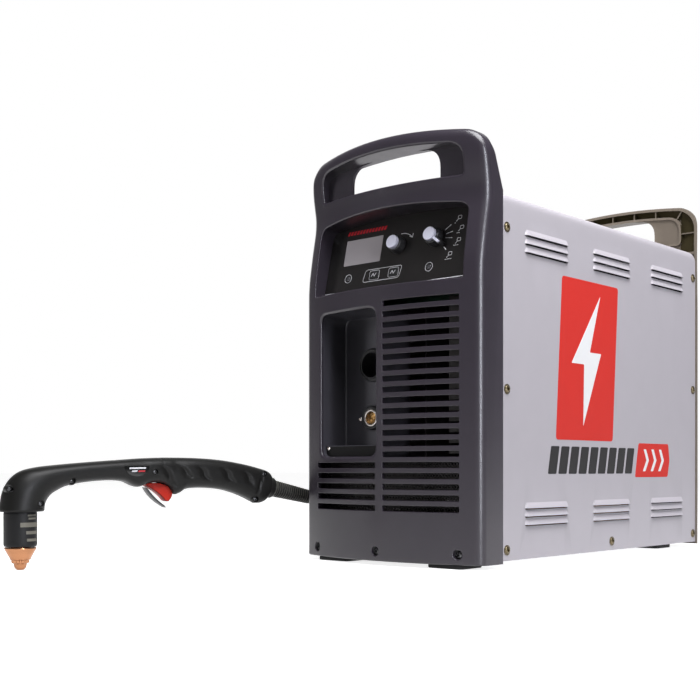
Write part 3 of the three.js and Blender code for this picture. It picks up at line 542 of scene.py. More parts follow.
def relief_point(distance):
    """A place on the strain relief's axis, in the unit's frame."""
    u = TAIL_X + distance * math.cos(TAIL_DROP)
    z = TAIL_Z - distance * math.sin(TAIL_DROP)
    return (TORCH_X + u * math.cos(HEADING), TORCH_Y + u * math.sin(HEADING), z)


LEAD_START = relief_point(RELIEF_LENGTH + 0.3)


def make_lead():
    """Down from the torch to the floor, round the coil and down its side to the connector behind it."""
    outer = COIL_X + COIL_OUTER
    top = FLOOR_LINE + (COIL_LAYERS - 1) * COIL_PITCH
    out_of_torch = [
        LEAD_START, relief_point(RELIEF_LENGTH + 25),
        (-168, -175, 52), (-165, -140, 33), (-164, -105, 18), (-164, -70, 10.5),
        (-166, -35, FLOOR_LINE), (-171, 10, FLOOR_LINE), (-177, 50, FLOOR_LINE),
        (outer, COIL_Y - 38, FLOOR_LINE), (outer, COIL_Y - 14, FLOOR_LINE),
    ]
    to_connector = [
        (outer, COIL_Y + 14, top), (outer, COIL_Y + 26, top - 0.4), (outer + 0.8, 172, 54),
        (-177.5, 200, 43), (-176, 226, 33), (CONNECTOR_X, 250, CONNECTOR_Z + 0.3),
        (CONNECTOR_X, CONNECTOR_Y - 0.3, CONNECTOR_Z),
    ]
    route = [unit(p) for p in out_of_torch + coil_route() + to_connector]
    data = bpy.data.curves.new("torch_lead_cord", "CURVE")
    data.dimensions = "3D"
    data.bevel_depth = LEAD_RADIUS * MM
    data.bevel_resolution = 5
    data.use_fill_caps = True
    data.resolution_u = 8
    spline = data.splines.new("BEZIER")
    spline.bezier_points.add(len(route) - 1)
    for point, where in zip(spline.bezier_points, route):
        point.co = where
        point.handle_left_type = "AUTO"
        point.handle_right_type = "AUTO"
    lead = link("torch_lead_cord", data)
    dress(lead, "lead", stands_for=("torch_lead", "torch_lead_coil", "torch_lead_tail"))
    return lead


def make_relief():
    """The ribbed sleeve behind the torch: rounded rings on a tapering core."""
    profile = fillet([(5, 0.4), (11.4, 0.4), (11.4, 2.6), (8.4, 3.2)], 0.6)
    ribs = 17
    pitch = (RELIEF_LENGTH - 4.6) / ribs
    for rib in range(ribs):
        start = 4 + rib * pitch
        crest = 10.8 - 0.1 * rib
        core = crest - 3.4
        side = crest - 0.5
        shape = [(core, 0), (side, 0.05), (crest, 0.16), (crest, 0.36), (side, 0.47), (core, 0.52)]
        profile += [(radius, start + share * pitch) for radius, share in shape]
    profile += [(6.8, RELIEF_LENGTH), (5, RELIEF_LENGTH)]
    relief = lathe("ribbed_strain_relief", profile, "x", place=in_relief, sides=40, sharp=50)
    dress(relief, "relief", stands_for=("strain_relief",))
    relief.data.materials.append(LOOKS["rubber"])  # darker rubber for the grooves between the ribs as painted shade, against lighter crests as painted highlight
    start, end = Vector(in_relief((0, 0, 0))), Vector(in_relief((1, 0, 0)))
    along = (end - start).normalized()
    for face in relief.data.polygons:
        offset = face.center - start
        distance = offset.dot(along)
        radius = (offset - along * distance).length / MM
        face.material_index = int(3.6 < distance / MM and radius < 9.9 - 0.1 * (distance / MM) / pitch)
    return relief


def make_connector():
    """The lead's own connector, with a knurled coupling ring."""
    centre = (CONNECTOR_X, CONNECTOR_Y, CONNECTOR_Z)
    body = fillet([(5, 0), (12.6, 0), (14, 2.5), (14, 24), (20, 30), (21.5, 40), (21.5, 59), (5, 59)], 1.2)
    back = lathe("connector_back", body, "y", centre)
    ring = fillet([(15, 59.5), (25, 59.5), (26, 61), (26, 83), (25, 84.5), (15, 84.5), (15, 59.5)], 0.8)
    knurl = lathe("connector_ring", ring[:-1], "y", centre, sides=96, loop=True, wave=knurling(0.6, 61, 83))
    mouth = fillet([(5, 85), (20.8, 85), (20.8, 108), (17.6, 108), (17.6, 92), (5, 92)], 0.7)
    front = lathe("connector_mouth", mouth, "y", centre)
    pin = fillet([(0.2, 91), (1.6, 91), (1.6, 103), (0.2, 104.5)], 0.5)
    pins = []
    for i in range(6):
        x = CONNECTOR_X + PIN_CIRCLE * math.cos(i * math.pi / 3)
        z = CONNECTOR_Z + PIN_CIRCLE * math.sin(i * math.pi / 3)
        pins.append(lathe("pin", pin, "y", (x, CONNECTOR_Y, z), sides=12))
    connector = combined("lead_connector_body", [back, knurl, front])
    dress(connector, "black", stands_for=("lead_connector",))
    contacts = dress(combined("lead_connector_pins", pins), "brass")
    return connector, contacts


lead = make_lead()
relief = make_relief()
connector, contacts = make_connector()

# ---------------------------------------------------------------- bezels

HALF_WIDTH = 137
UNIT_TOP = 507.8
BEZEL_BOTTOM = 5
SHOULDER = 430
EDGE_RADIUS = 9
TOP_ARCH = 11
TOP_CORNER = 27
CROWN_HEIGHT = 14


class Bezel:
    """A bowed moulding whose front leans in towards its waist and out again to its handle."""

    def __init__(self, joint, facing, depth, bulge):
        self.joint = joint
        self.facing = facing
        self.bulge = bulge
        self.depth = depth
        waist = min(16.5, depth * 0.35)
        brow = min(8, depth * 0.2)
        self.crown = min(8, depth * 0.35)
        self.knots = [
            (345, depth), (385, depth - waist * 0.45), (425, depth - waist), (450, depth - waist * 0.8),
            (480, depth - brow),
        ]

    def line(self, up):
        """How far the face stands out at a height, as a softened run through the knots."""
        total = 0.0
        offsets = range(-14, 15, 2)
        for offset in offsets:
            at = min(max(up + offset, self.knots[0][0]), self.knots[-1][0])
            for (low, start), (high, end) in zip(self.knots, self.knots[1:]):
                if low <= at <= high:
                    total += start + (end - start) * (at - low) / (high - low)
                    break
        return total / len(offsets)

    def bow(self, x, half):
        """How far the face bulges at x, with its rounded vertical edges."""
        across = min(abs(x), half)
        into_edge = max(0.0, across - (half - EDGE_RADIUS))
        edge = EDGE_RADIUS - math.sqrt(EDGE_RADIUS ** 2 - into_edge ** 2)
        return self.bulge * (1 - (across / half) ** 2) - edge

    def drop(self, x, half):
        """How far the top lies below the unit's height at x."""
        across = min(abs(x), half)
        into_corner = max(0.0, across - (half - TOP_CORNER))
        corner = TOP_CORNER - math.sqrt(max(0.0, TOP_CORNER ** 2 - into_corner ** 2))
        return TOP_ARCH * (across / half) ** 2 + corner

    def at(self, out, up, x, half):
        """The place of a profile point at x: bowed outwards, and lower towards the top's corners."""
        outness = min(1.0, max(0.0, out / min(20, self.depth)))
        share = max(0.0, (up - SHOULDER) / (UNIT_TOP - SHOULDER))
        y = self.joint + self.facing * (out + self.bow(x, half) * outness)
        return (x, y, up - share * self.drop(x, half))

    def skin(self, x, z):
        """Where the face is in front of a point."""
        up = z
        if z > SHOULDER:
            squeeze = 1 - self.drop(x, HALF_WIDTH) / (UNIT_TOP - SHOULDER)
            up = min(UNIT_TOP - 1, SHOULDER + (z - SHOULDER) / squeeze)
        return self.at(self.line(up), up, x, HALF_WIDTH)[1]

    def form(self, name, inset=0.0):
        """The whole outer form as a solid, or the form drawn in by the wall."""
        half = HALF_WIDTH - inset
        top = UNIT_TOP - inset
        bottom = BEZEL_BOTTOM + inset
        back = -3 if inset else 0
        heights = list(range(12, 346, 12)) + list(range(350, 494, 5))
        low = self.line(0) - inset
        profile = [(back, bottom), (low * 0.4, bottom), (low * 0.8, bottom)]
        profile += fillet([(low * 0.8, bottom), (low, bottom), (low, bottom + 5)], 3)[1:-1]
        profile += [(self.line(up) - inset, up) for up in heights]
        brow = self.line(heights[-1]) - inset
        for step in range(1, 8):
            turn = math.pi / 2 * step / 7
            out = brow - self.crown * (1 - math.cos(turn))
            profile.append((out, top - CROWN_HEIGHT * (1 - math.sin(turn))))
        crest = brow - self.crown
        profile += [(crest * 0.66, top), (crest * 0.33, top), (back, top)]
        flat_half = half - TOP_CORNER
        stations = [flat_half * s / 15 for s in range(16)]
        stations += [flat_half + (TOP_CORNER - EDGE_RADIUS) * s / 5 for s in range(1, 6)]
        stations += [half - EDGE_RADIUS + EDGE_RADIUS * math.sin(math.pi / 2 * s / 9) for s in range(1, 10)]
        across = [-s for s in reversed(stations[1:])] + stations
        rings = [[self.at(out, up, x, half) for out, up in profile] for x in across]
        return loft(name, rings, sharp=40)

    def opening(self, name, outline, deep, radius, longest=5):
        """A cutter with the outline's section whose mouth flares into the face with a round edge."""
        sample = divided(outline, longest)
        steps = 5
        far = self.joint + self.facing * 110
        floor = deep if callable(deep) else lambda x, z: deep
        levels = [(0.0, None), (0.0, radius)]
        for step in range(1, steps + 1):
            turn = math.pi / 2 * step / steps
            levels.append((radius * (1 - math.cos(turn)), radius * (1 - math.sin(turn))))
        levels += [(radius + 0.8, -0.4)]
        rings = []
        for reach, below in levels:
            ring = []
            for x, z in grown(sample, reach):
                y = floor(x, z) if below is None else self.skin(x, z) - self.facing * below
                ring.append((x, y, z))
            rings.append(ring)
        rings.append([(x, far, z) for x, z in grown(sample, radius + 0.8)])
        return loft(name, rings)


FRONT = Bezel(-243, -1, 41, 25)
REAR = Bezel(252, 1, 10, 21)
WALL = 4
SHELF_TOP = 433.5  # where the handle's hollow starts above the cover
GAP = dict(half=109, bottom=449, top=491, arch=5, top_radius=20, bottom_radius=5)
GRIP = dict(half=69, bottom=448, top=492, arch=3, top_radius=24, bottom_radius=5)
PANEL_RECESS = dict(half=115, bottom=330, top=424, arch=6, top_radius=14, bottom_radius=3)
FRONT_WEB = (-272, -268)  # the plate in the handle's gap that the grip's opening is cut through
REAR_WEB = (254, 258)
RIB_PLACES = (-73, -37, -1, 35.5, 71)
HALF_RIB = 0.9


def grow_arch(arch, reach):
    """An arched outline from its measures, grown by `reach`."""
    return arched(
        arch["half"] + reach, arch["bottom"] - reach, arch["top"] + reach, arch["arch"],
        arch["top_radius"] + reach, arch["bottom_radius"] + reach,
    )


def plate(name, outline, y0, y1):
    """A slab from an outline of (x, z) between two depths."""
    return slab(name, outline, y0, y1, facing_y)


def rib(name, x0, z0, x1, z1, y0, y1):
    """A thin wall in the handle's hollow from one point to another."""
    along = Vector((x1 - x0, z1 - z0)).normalized() * HALF_RIB
    side = (-along.y, along.x)
    corners = [(x0 - side[0], z0 - side[1]), (x1 - side[0], z1 - side[1]), (x1 + side[0], z1 + side[1]),
               (x0 + side[0], z0 + side[1])]
    return plate(name, corners, y0, y1)


def handle_ribs(y0, y1):
    """Upright ribs over the gap, and one at each corner and at each side of it."""
    ribs = [rib(f"rib_{x}", x, 484, x, 515, y0, y1) for x in RIB_PLACES]
    for side in (-1, 1):
        ribs.append(rib("rib_corner", side * 98, 474, side * 121, 508, y0, y1))
        ribs.append(rib("rib_side", side * 107, 462, side * 140, 462, y0, y1))
    return ribs


def hollow(side, web_from, web_to, extra_keeps):
    """The bezel's outer form less its hollow, with the handle's channel, ribs and grip web left in."""
    inner = side.form("inner", WALL)
    far = side.joint + side.facing * 100
    near = side.joint - side.facing * 8
    shelf = [(-140, SHOULDER), (140, SHOULDER), (140, SHELF_TOP), (-140, SHELF_TOP)]
    kept = [plate("shelf", shelf, near, far), plate("channel", grow_arch(GAP, 3.5), near, far)]
    kept += handle_ribs(side.joint + side.facing * 1.6, far) + extra_keeps
    for piece in kept:
        carve(inner, [piece])
    shell = side.form("shell")
    carve(shell, [inner])
    carve(shell, [side.opening("gap", grow_arch(GAP, 0), near, 3.2)])
    web = plate("web", grow_arch(GAP, 1.2), web_from, web_to)
    grip = divided(grow_arch(GRIP, 0), 6)
    carve(web, [plate("grip", grip, web_from - 9, web_to + 9)])
    return carve(shell, [web], "UNION")


def leaning(height, near):
    """The control panel's y at a height, moved forwards by `near`."""
    return PANEL_Y + (height - PANEL_Z) * math.tan(LEAN) - near


def panel_room(name, reach, near):
    """The space in front of the leaning panel, back to `near` in front of its face."""
    outline = divided(grow_arch(PANEL_RECESS, reach), 6)
    rings = [[(x, leaning(z, near), z) for x, z in outline], [(x, -345, z) for x, z in outline]]
    return loft(name, rings)


SLOT_ROWS = [308.4 - 12.66 * row for row in range(20)]
SLOT_HALF_HEIGHT = 3.4
ROWS_BESIDE_BAY = 15  # the rows below these reach across the whole front
BAY_OUTLINE = rounded(-102, 0, 129, 305, 12)
BEZEL_SCREWS = (-109, 0, 109)
BEZEL_SCREW_Z = 17


def make_front_bezel():
    shell = hollow(FRONT, *FRONT_WEB, [panel_room("panel_shell", 3, 0.4)])
    behind = [(-236, SHELF_TOP), (-243.5, SHELF_TOP), (-262.5, 482), (-262.5, 515), (-236, 515)]
    carve(shell, [loft("behind", [[(x, y, z) for y, z in behind] for x in (-142, 142)])])
    carve(shell, [FRONT.opening("recess", grow_arch(PANEL_RECESS, 0), lambda x, z: leaning(z, 0.05), 2)])
    carve(shell, [FRONT.opening("bay", BAY_OUTLINE, -255, 3.6)])
    slots = []
    for row, z in enumerate(SLOT_ROWS):
        spans = [(11, 111)] + ([(-108, 0)] if row >= ROWS_BESIDE_BAY else [])
        for left, right in spans:
            outline = rounded(left, right, z - SLOT_HALF_HEIGHT, z + SLOT_HALF_HEIGHT, 1.2, 2)
            slots.append(FRONT.opening("slot", outline, -262, 0.7, longest=8))
    carve(shell, slots)
    wells = []
    for x in BEZEL_SCREWS:
        ring = [(x + 5.5 * math.cos(t), BEZEL_SCREW_Z + 5.5 * math.sin(t)) for t in wheel(24)]
        wells.append(FRONT.opening("well", ring, -270, 1.2))
    carve(shell, wells, sharp=38)
    shell.name = "front_bezel_moulding"
    return dress(shell, "bezel", stands_for=("front_bezel",), even=True)


def make_rear_bezel():
    shell = hollow(REAR, *REAR_WEB, [])
    carve(shell, [REAR.opening("window", rounded(-112, 112, 250, 412, 14), 245, 2.4)])
    vents = []
    for row in range(7):
        z = 100 + row * 17
        for left, right in ((-120, -6), (6, 120)):
            outline = rounded(left, right, z - 4, z + 4, 1.5, 2)
            vents.append(REAR.opening("vent", outline, 247, 0.8, longest=8))
    carve(shell, vents, sharp=38)
    shell.name = "rear_bezel_moulding"
    dress(shell, "rear_bezel", stands_for=("rear_bezel",), even=True)
    shell.data.materials.append(LOOKS["hollow"])  # painted shade: a darker finish for the inside of the handle, round its grip's web
    # faces inside the handle's hollow take the painted shade finish
    for face in shell.data.polygons:
        x, y, z = (face.center - ORIGIN) / MM
        under_skin = y < REAR.skin(x, min(z, 500)) - 2 and z > SHOULDER + 4
        in_gap = abs(x) < GAP["half"] + 1.8 and z < 487.8 + 5 * (1 - (x / 89) ** 2)
        deep = y > REAR.joint + 1.9
        inside = z < UNIT_TOP - REAR.drop(x, HALF_WIDTH) - 2.5 and abs(x) < HALF_WIDTH - 2.5
        crest = z > 480 and face.normal.z > 0.15
        face.material_index = int(under_skin and deep and inside and not in_gap and not crest)


make_front_bezel()
make_rear_bezel()

# ---------------------------------------------------------------- connector bay

RECEPTACLE = (-53, 0, 244)
WORK_SOCKET = (-55, 0, 178)
BAY_BACK = -248


def make_bay():
    """A cup with a softly rounded bottom edge, a sloping sill and two socket holes."""
    sample = divided(BAY_OUTLINE, 5)
    rings = []

    def ring(reach, depth):
        points = grown(sample, reach)
        rings.append([(x, FRONT.skin(x, z) + WALL + 0.3 if depth is None else depth, z) for x, z in points])

    ring(2.5, BAY_BACK + 2.5)
    ring(2.5, -256)
    ring(2.5, None)
    ring(0.05, None)
    ring(0.05, BAY_BACK - 2)
    for step in range(1, 5):
        turn = math.pi / 2 * step / 4
        ring(-2 * (1 - math.cos(turn)), BAY_BACK - 2 + 2 * math.sin(turn))
    bay = loft("bay", rings)
    sill = [(-286, 126.5), (BAY_BACK + 1, 126.5), (BAY_BACK + 1, 143), (-286, 143)]
    sill = fillet(sill, 1.5, closed=True)
    carve(bay, [loft("sill", [[(x, y, z) for y, z in sill] for x in (-100, -3)])], "UNION")
    carve(bay, [lathe("hole", [(radius, -270), (radius, -240)], "y", centre, sides=64)
                for centre, radius in ((RECEPTACLE, 18.6), (WORK_SOCKET, 12.6))])
    bay.name = "connector_bay_moulding"
    dress(bay, "bay", stands_for=("connector_bay",), even=True)
    # the sill's front faces get a near-black finish as painted shade
    bay.data.materials.append(LOOKS["sill"])
    sill_top = unit((0, 0, 142)).z
    for face in bay.data.polygons:
        face.material_index = int(face.center.z < sill_top and face.normal.y < -0.5)


def make_sockets():
    face = BAY_BACK - 0.3
    body = [(3, face + 35), (15.5, face + 35), (15.5, face - 6), (19.5, face - 6), (21, face - 4.5),
            (21, face), (18.2, face), (18.2, face + 38), (3, face + 38)]
    body = lathe("body", fillet(body, 0.8, 3), "y", RECEPTACLE, sides=72)
    ridges = []
    for r in (15.6, 18):
        ridge = [(r, face - 5), (r + 1.1, face - 5), (r + 1.1, face - 7.2), (r, face - 7.2)]
        ridge = fillet(ridge, 0.4, closed=True)
        ridges.append(lathe("ridge", ridge, "y", RECEPTACLE, sides=72, loop=True))
    insert = [(1, face + 24), (13.5, face + 24), (13.5, face + 34), (1, face + 34)]
    insert = lathe("insert", fillet(insert, 0.6), "y", RECEPTACLE)
    receptacle = combined("torch_receptacle_body", [body, insert] + ridges)
    dress(receptacle, "black", stands_for=("torch_receptacle",))

    body = [(2, face + 27), (11, face + 27), (11, face - 6), (14, face - 6), (15.5, face - 4.5),
            (15.5, face), (12.2, face), (12.2, face + 30), (2, face + 30)]
    body = lathe("work_socket_body", fillet(body, 0.8, 3), "y", WORK_SOCKET, sides=64)
    dress(body, "black", stands_for=("work_lead_socket",))
    sleeve = fillet([(8.2, -236), (8.2, -254), (10.7, -254), (10.7, -236)], 0.5, 3, True)
    dress(lathe("work_socket_ring", sleeve, "y", WORK_SOCKET, sides=64, loop=True), "nickel")
    pin = [(0.2, -228), (10.6, -228), (10.6, -236.5), (3, -236.5), (2, -238), (2, -248), (0.2, -249)]
    x, _, z = WORK_SOCKET
    split = box("split", x - 9, x + 9, -251, -239.5, z - 0.6, z + 0.6)
    contact = carve(lathe("work_socket_contact", fillet(pin, 0.4, 3), "y", WORK_SOCKET), [split])
    dress(contact, "brass", stands_for=("work_lead_contact",))


make_bay()
make_sockets()

# ---------------------------------------------------------------- screws


FORWARD = (0, -1, 0)


def lobed_screw(name, centre, toward, radius=4.4, rise=2.4, place=unit):
    """A button head with a six-lobed socket. toward gives the head's outward direction in its frame."""
    axis = Vector(toward).normalized()
    side = axis.cross(Vector((0, 0, 1)) if abs(axis.z) < 0.9 else Vector((1, 0, 0))).normalized()
    up = axis.cross(side)
    head = [(radius, -0.4), (radius, 0.25)]
    head += [(radius * math.cos(t), 0.25 + (rise - 0.25) * math.sin(t)) for t in (0.3, 0.6, 0.9, 1.15)]
    socket = radius * 0.46
    recess = [(socket, rise), (socket * 0.95, rise - 0.3), (socket * 0.92, rise * 0.25)]
    rings = [[(r * math.cos(k), r * math.sin(k), a) for k in wheel(36)] for r, a in head]
    for r, a in recess:
        lobes = [(r * (1 + 0.13 * math.cos(6 * k)), k) for k in wheel(36)]
        rings.append([(lobe * math.cos(k), lobe * math.sin(k), a) for lobe, k in lobes])
    origin = Vector(centre)

    def put(point):
        return place(origin + side * point[0] + up * point[1] + axis * point[2])

    return loft(name, rings, put, sharp=40)


def make_cover_screws():
    places = [(-232.5, 392.6), (-232.5, 206), (-232.5, 20.4), (243.5, 392.6), (243.5, 229.5), (243.5, 20.4),
              (8, 20)]
    rim = fillet([(4.6, -0.3), (6.0, -0.3), (6.0, 0.6), (4.6, 0.6)], 0.2, 2, True)
    for side, word in ((1, "right"), (-1, "left")):
        for number, (y, z) in enumerate(places):
            centre = (side * COVER_X, y, z)
            washer = lathe("washer", rim, "x", centre, sides=32, loop=True)
            head = lobed_screw("head", centre, (side, 0, 0))
            dress(combined(f"cover_screw_{word}_{number}", [washer, head]), "bronze")


def make_bezel_screws():
    for number, x in enumerate(BEZEL_SCREWS):
        seat = FRONT.skin(x, BEZEL_SCREW_Z) + 6
        rim = fillet([(4.8, seat), (7.3, seat), (7.3, seat - 3), (4.8, seat - 3)], 0.5, 2, True)
        collar = lathe("collar", rim, "y", (x, 0, BEZEL_SCREW_Z), sides=32, loop=True)
        head = lobed_screw("head", (x, seat - 1, BEZEL_SCREW_Z), FORWARD, 4.7, 2.6)
        dress(combined(f"front_bezel_screw_{number}", [collar, head]), "dark_steel")


def make_bay_screws():
    dress(lobed_screw("bay_ledge_screw", (-96, -286, 139.5), FORWARD, 2.4, 1.6), "nickel")
    dress(lobed_screw("bay_socket_screw", (-76.6, BAY_BACK, 176.8), FORWARD, 2.6, 1.8), "nickel")


make_cover_screws()
make_bezel_screws()
make_bay_screws()

# ---------------------------------------------------------------- cover

COVER_FRONT = -242.5
COVER_REAR = 251.5
COVER_BOTTOM = 8
COVER_TOP = 432
SHEET = 1.6
LOUVRE_GROUPS = (-148, 8, 162.5)
LOUVRE_SLITS = (388, 378, 368, 66.5, 57, 47)
LOUVRE_HALF = 49.5


def cover_arch(inset):
    x = COVER_X - inset
    z = COVER_TOP - inset
    bend = fillet([(x, COVER_BOTTOM), (x, z), (-x, z), (-x, COVER_BOTTOM)], 12 - inset, 8)
    levels = (120, 300, 412, 416)  # so that the bend's shading ends close to the bend
    rising = [(x, level) for level in levels]
    falling = [(-x, level) for level in reversed(levels)]
    return bend[:1] + rising + bend[1:-1] + falling + bend[-1:]


def hood(side, y, slit):
    """One pressed louvre: a sloping face with slanted ends, open below."""
    base = side * (COVER_X - 0.6)
    out = side * (COVER_X + 3)
    low = slit + 0.9
    high = slit + 9.2
    near = LOUVRE_HALF - 5
    outer = [(base, y - near, high), (base, y + near, high), (out, y + near, low), (out, y - near, low),
             (base, y - LOUVRE_HALF, low), (base, y + LOUVRE_HALF, low)]
    inner = []
    for i, (x, along, z) in enumerate(outer):
        thin = side * 1.1 if i in (2, 3) else 0
        inner.append((x - thin, along + (1.5 if along < y else -1.5), z - (1.8 if z == high else 0)))
    faces = [(0, 1, 2, 3), (0, 3, 4), (1, 5, 2), (6, 9, 8, 7), (6, 10, 9), (7, 8, 11),
             (4, 3, 9, 10), (3, 2, 8, 9), (2, 5, 11, 8), (0, 4, 10, 6), (5, 1, 7, 11), (1, 0, 6, 7)]
    piece = build("hood", outer + inner, faces, sharp=20)
    soft = piece.modifiers.new("soft", "BEVEL")
    soft.width = 0.45 * MM
    soft.segments = 2
    soft.angle_limit = math.radians(18)
    bake(piece)
    return piece


def make_cover():
    section = cover_arch(0) + list(reversed(cover_arch(SHEET)))
    stations = [COVER_FRONT, COVER_FRONT + 0.5, *range(-230, 240, 20)]
    stations += [241.5, 244.5, 247, 249, 250.5, COVER_REAR]
    rings = []
    for y in stations:
        into = max(0.0, y - 241.5) / 10
        drop = 7 * (1 - math.sqrt(max(0.0, 1 - into ** 2)))
        rings.append([(x, y, z - drop * max(0.0, (z - 405) / 27)) for x, z in section])
    cover = loft("cover_sheet", rings)
    slits = []
    hoods = []
    for side in (-1, 1):
        for y in LOUVRE_GROUPS:
            for slit in LOUVRE_SLITS:
                x0, x1 = sorted((side * (COVER_X - 5), side * (COVER_X + 2)))
                slits.append(box("slit", x0, x1, y - 46, y + 46, slit - 0.4, slit + 5.5))
                hoods.append(hood(side, y, slit))
    carve(cover, slits, sharp=40)
    cover = combined("cover_sheet", [cover] + hoods)
    return dress(cover, "cover", stands_for=("cover",), even=True)


def sticker(name, outline, finish, lift=0.0):
    """A thin printed shape on the cover's right side."""
    dress(slab(name, outline, lift - 0.02, lift + 0.14, flat, 0.05, on_side, 1), finish)


def slanted(left, right, bottom, top, slant):
    shift = (top - bottom) * slant
    return [(left, bottom), (right, bottom), (right + shift, top), (left + shift, top)]


def make_side_marks():
    """A plain red field with a lightning bolt, and a row of bars with an arrowed tag below it."""
    sticker("side_mark_field", fillet(slanted(-128, 10, 150, 352, 0.07), 5, 4, True), "red_vinyl")
    bolt = [(-64, 168), (-20, 262), (-48, 262), (-22, 336), (-92, 246), (-62, 246)]
    sticker("side_mark_bolt", fillet(bolt, 1.5, 2, True), "white_vinyl", lift=0.16)
    for number in range(9):
        left = -146 + 23.5 * number
        bar = slanted(left, left + 19, 108, 142, 0.22)
        sticker(f"side_mark_bar_{number}", fillet(bar, 2, 3, True), "black_vinyl")
    tag = [(70, 103), (164, 103), (170, 126), (166, 149), (80, 149)]
    sticker("side_mark_tag", fillet(tag, 3, 3, True), "red_vinyl")
    for number in range(3):
        left = 92 + 22 * number
        arrow = [(left, 111), (left + 7, 111), (left + 17, 126), (left + 9, 141), (left + 2, 141),
                 (left + 10, 126)]
        sticker(f"side_mark_arrow_{number}", fillet(arrow, 1, 2, True), "white_vinyl", lift=0.16)


make_cover()
make_side_marks()

# ---------------------------------------------------------------- control panel

DISPLAY = (-60.5, 1)
ADJUSTMENT = (-1.6, -0.5)
MODE = (54.7, 1.5)
LOWER_ROW = -33.7
BUTTONS = {"display_button": (-35.3, "display_key"), "gas_test_button": (-4.8, "gas_test_key")}
LIGHTS = {"power_light": -78.4, "fault_light": 49.8}
POINTER = math.radians(-38)


def panel_slab(name, outline, low, high, bevel=0.0):
    return slab(name, outline, low, high, flat, bevel, on_panel)


def around(centre, half_width, half_height, radius, steps):
    """A rounded outline round a middle."""
    x, y = centre
    return rounded(x - half_width, x + half_width, y - half_height, y + half_height, radius, steps)


def stroke(points, width, closed=False, lift=0.03):
    """A printed line of even width along points on the panel."""
    pieces = []
    pairs = list(zip(points, points[1:])) + ([(points[-1], points[0])] if closed else [])
    for start, end in pairs:
        along = (Vector(end) - Vector(start)).normalized() * width / 2
        side = Vector((-along.y, along.x))
        a, b = Vector(start) - along * 0.6, Vector(end) + along * 0.6
        outline = [tuple(a - side), tuple(b - side), tuple(b + side), tuple(a + side)]
        pieces.append(panel_slab("stroke", outline, lift - 0.05, lift + 0.05))
    return pieces


def ring_points(centre, radius, first=0, last=360, count=24):
    turns = [math.radians(first + (last - first) * i / count) for i in range(count + 1)]
    return [(centre[0] + radius * math.cos(t), centre[1] + radius * math.sin(t)) for t in turns]


def at_setting(angle, radius):
    turn = math.radians(angle)
    return (MODE[0] + radius * math.cos(turn), MODE[1] + radius * math.sin(turn))


def round_hole(x, y, radius):
    return lathe("hole", [(radius, -5), (radius, 3)], "z", (x, y, 0), on_panel, 24)


def make_panel():
    outline = divided(arched(118.3, -60, 45, 6, 16, 4), 8)
    panel = panel_slab("overlay", outline, -3, 0, 0.2)
    holes = [panel_slab("hole", around(DISPLAY, 30.5, 17.2, 1.2, 3), -5, 3)]
    holes += [round_hole(x, y, 3.4) for x, y in (ADJUSTMENT, MODE)]
    for x, _ in BUTTONS.values():
        holes.append(panel_slab("hole", around((x, LOWER_ROW), 7.2, 5.2, 2.2, 4), -5, 3))
    holes += [round_hole(x, LOWER_ROW, 3.3) for x in LIGHTS.values()]
    carve(panel, holes)
    panel.name = "control_panel_overlay"
    dress(panel, "panel", stands_for=("control_panel",))
    pane = panel_slab("display_window_pane", around(DISPLAY, 30.3, 17, 1, 3), -3, -0.5, 0.25)
    dress(pane, "display", stands_for=("display_window",))


def make_panel_print():
    marks = []
    for angle in (35, 12, -7, -44):
        marks += stroke([at_setting(angle, 14.5), at_setting(angle, 24)], 0.8)
    spiral = ((88, 15.4), (72, 16.2), (58, 17.2), (45, 18.4), (34, 19.6), (27, 20.6))
    arc = [ring_points(ADJUSTMENT, reach, turn, turn, 1)[0] for turn, reach in spiral]
    marks += stroke(fillet(arc, 3, 3), 0.8)
    x, y = arc[-1]
    marks += stroke([(x - 4, y + 1.1), (x + 0.6, y - 0.8), (x + 1.2, y + 4)], 0.8)
    low, high = LOWER_ROW - 7.8, LOWER_ROW + 7.8
    frame_line = fillet([(-53.5, low), (4.5, low), (8, high), (-50, high)], 4, 4, True)
    marks += stroke(frame_line, 0.5, closed=True)
    for x, _ in BUTTONS.values():
        marks += stroke(around((x, LOWER_ROW), 7.9, 5.9, 2.6, 3), 0.4, closed=True)
    for x in LIGHTS.values():
        marks += stroke(ring_points((x, LOWER_ROW), 5.4), 0.6)
    dress(combined("panel_print", marks + make_setting_marks()), "print")
    lefts = [-91 + 5 * number for number in range(13)]
    bars = [panel_slab("bar", slanted(left, left + 3.2, 24.5, 29.5, 0.35), -0.02, 0.06) for left in lefts]
    dress(combined("panel_red_bars", bars), "red_print")
    # a white line along the panel's lower edge: a painted highlight for the recess lip's edge highlight
    dress(combined("panel_edge_painted_highlight", stroke([(-114.5, -51), (114.5, -51)], 0.9)), "print")


def make_setting_marks():
    """Plain symbols beside the mode selector: plate shapes with a dot for where the arc goes."""
    marks = []
    for number, (x, y) in enumerate(((85, 21), (90, 8), (88, -7), (78, -23))):
        marks += stroke(rounded(x - 1.5, x + 3.5, y, y + 4, 1, 2), 0.6, closed=True)
        marks += stroke([(x - 1, y), (x - 3.5, y - 2.6)], 0.6)
        for dash in range(number + 1):
            left = x - 5.5 + dash * 2.6
            marks += stroke([(left, y - 4.6), (left + 1.3, y - 4.6)], 0.7)
    return marks


def ribbed_knob(name, centre, radius, top):
    profile = fillet([(2.9, -12), (2.9, 0.6), (radius, 0.6), (radius, 3.2), (radius - 1.1, top - 1.4),
                      (radius - 2.2, top), (2, top)], 0.7)
    return lathe(name, profile, "z", (*centre, 0), on_panel, 96, sharp=40, wave=knurling(0.35, 3, top - 1))


def knob_cap(name, centre, radius):
    profile = [(2, 11.2), (radius, 11.2), (radius, 15), (radius - 0.9, 16), (radius - 2.2, 15.7), (1, 15.4)]
    return lathe(name, fillet(profile, 0.4, 3), "z", (*centre, 0), on_panel, 56, sharp=40)


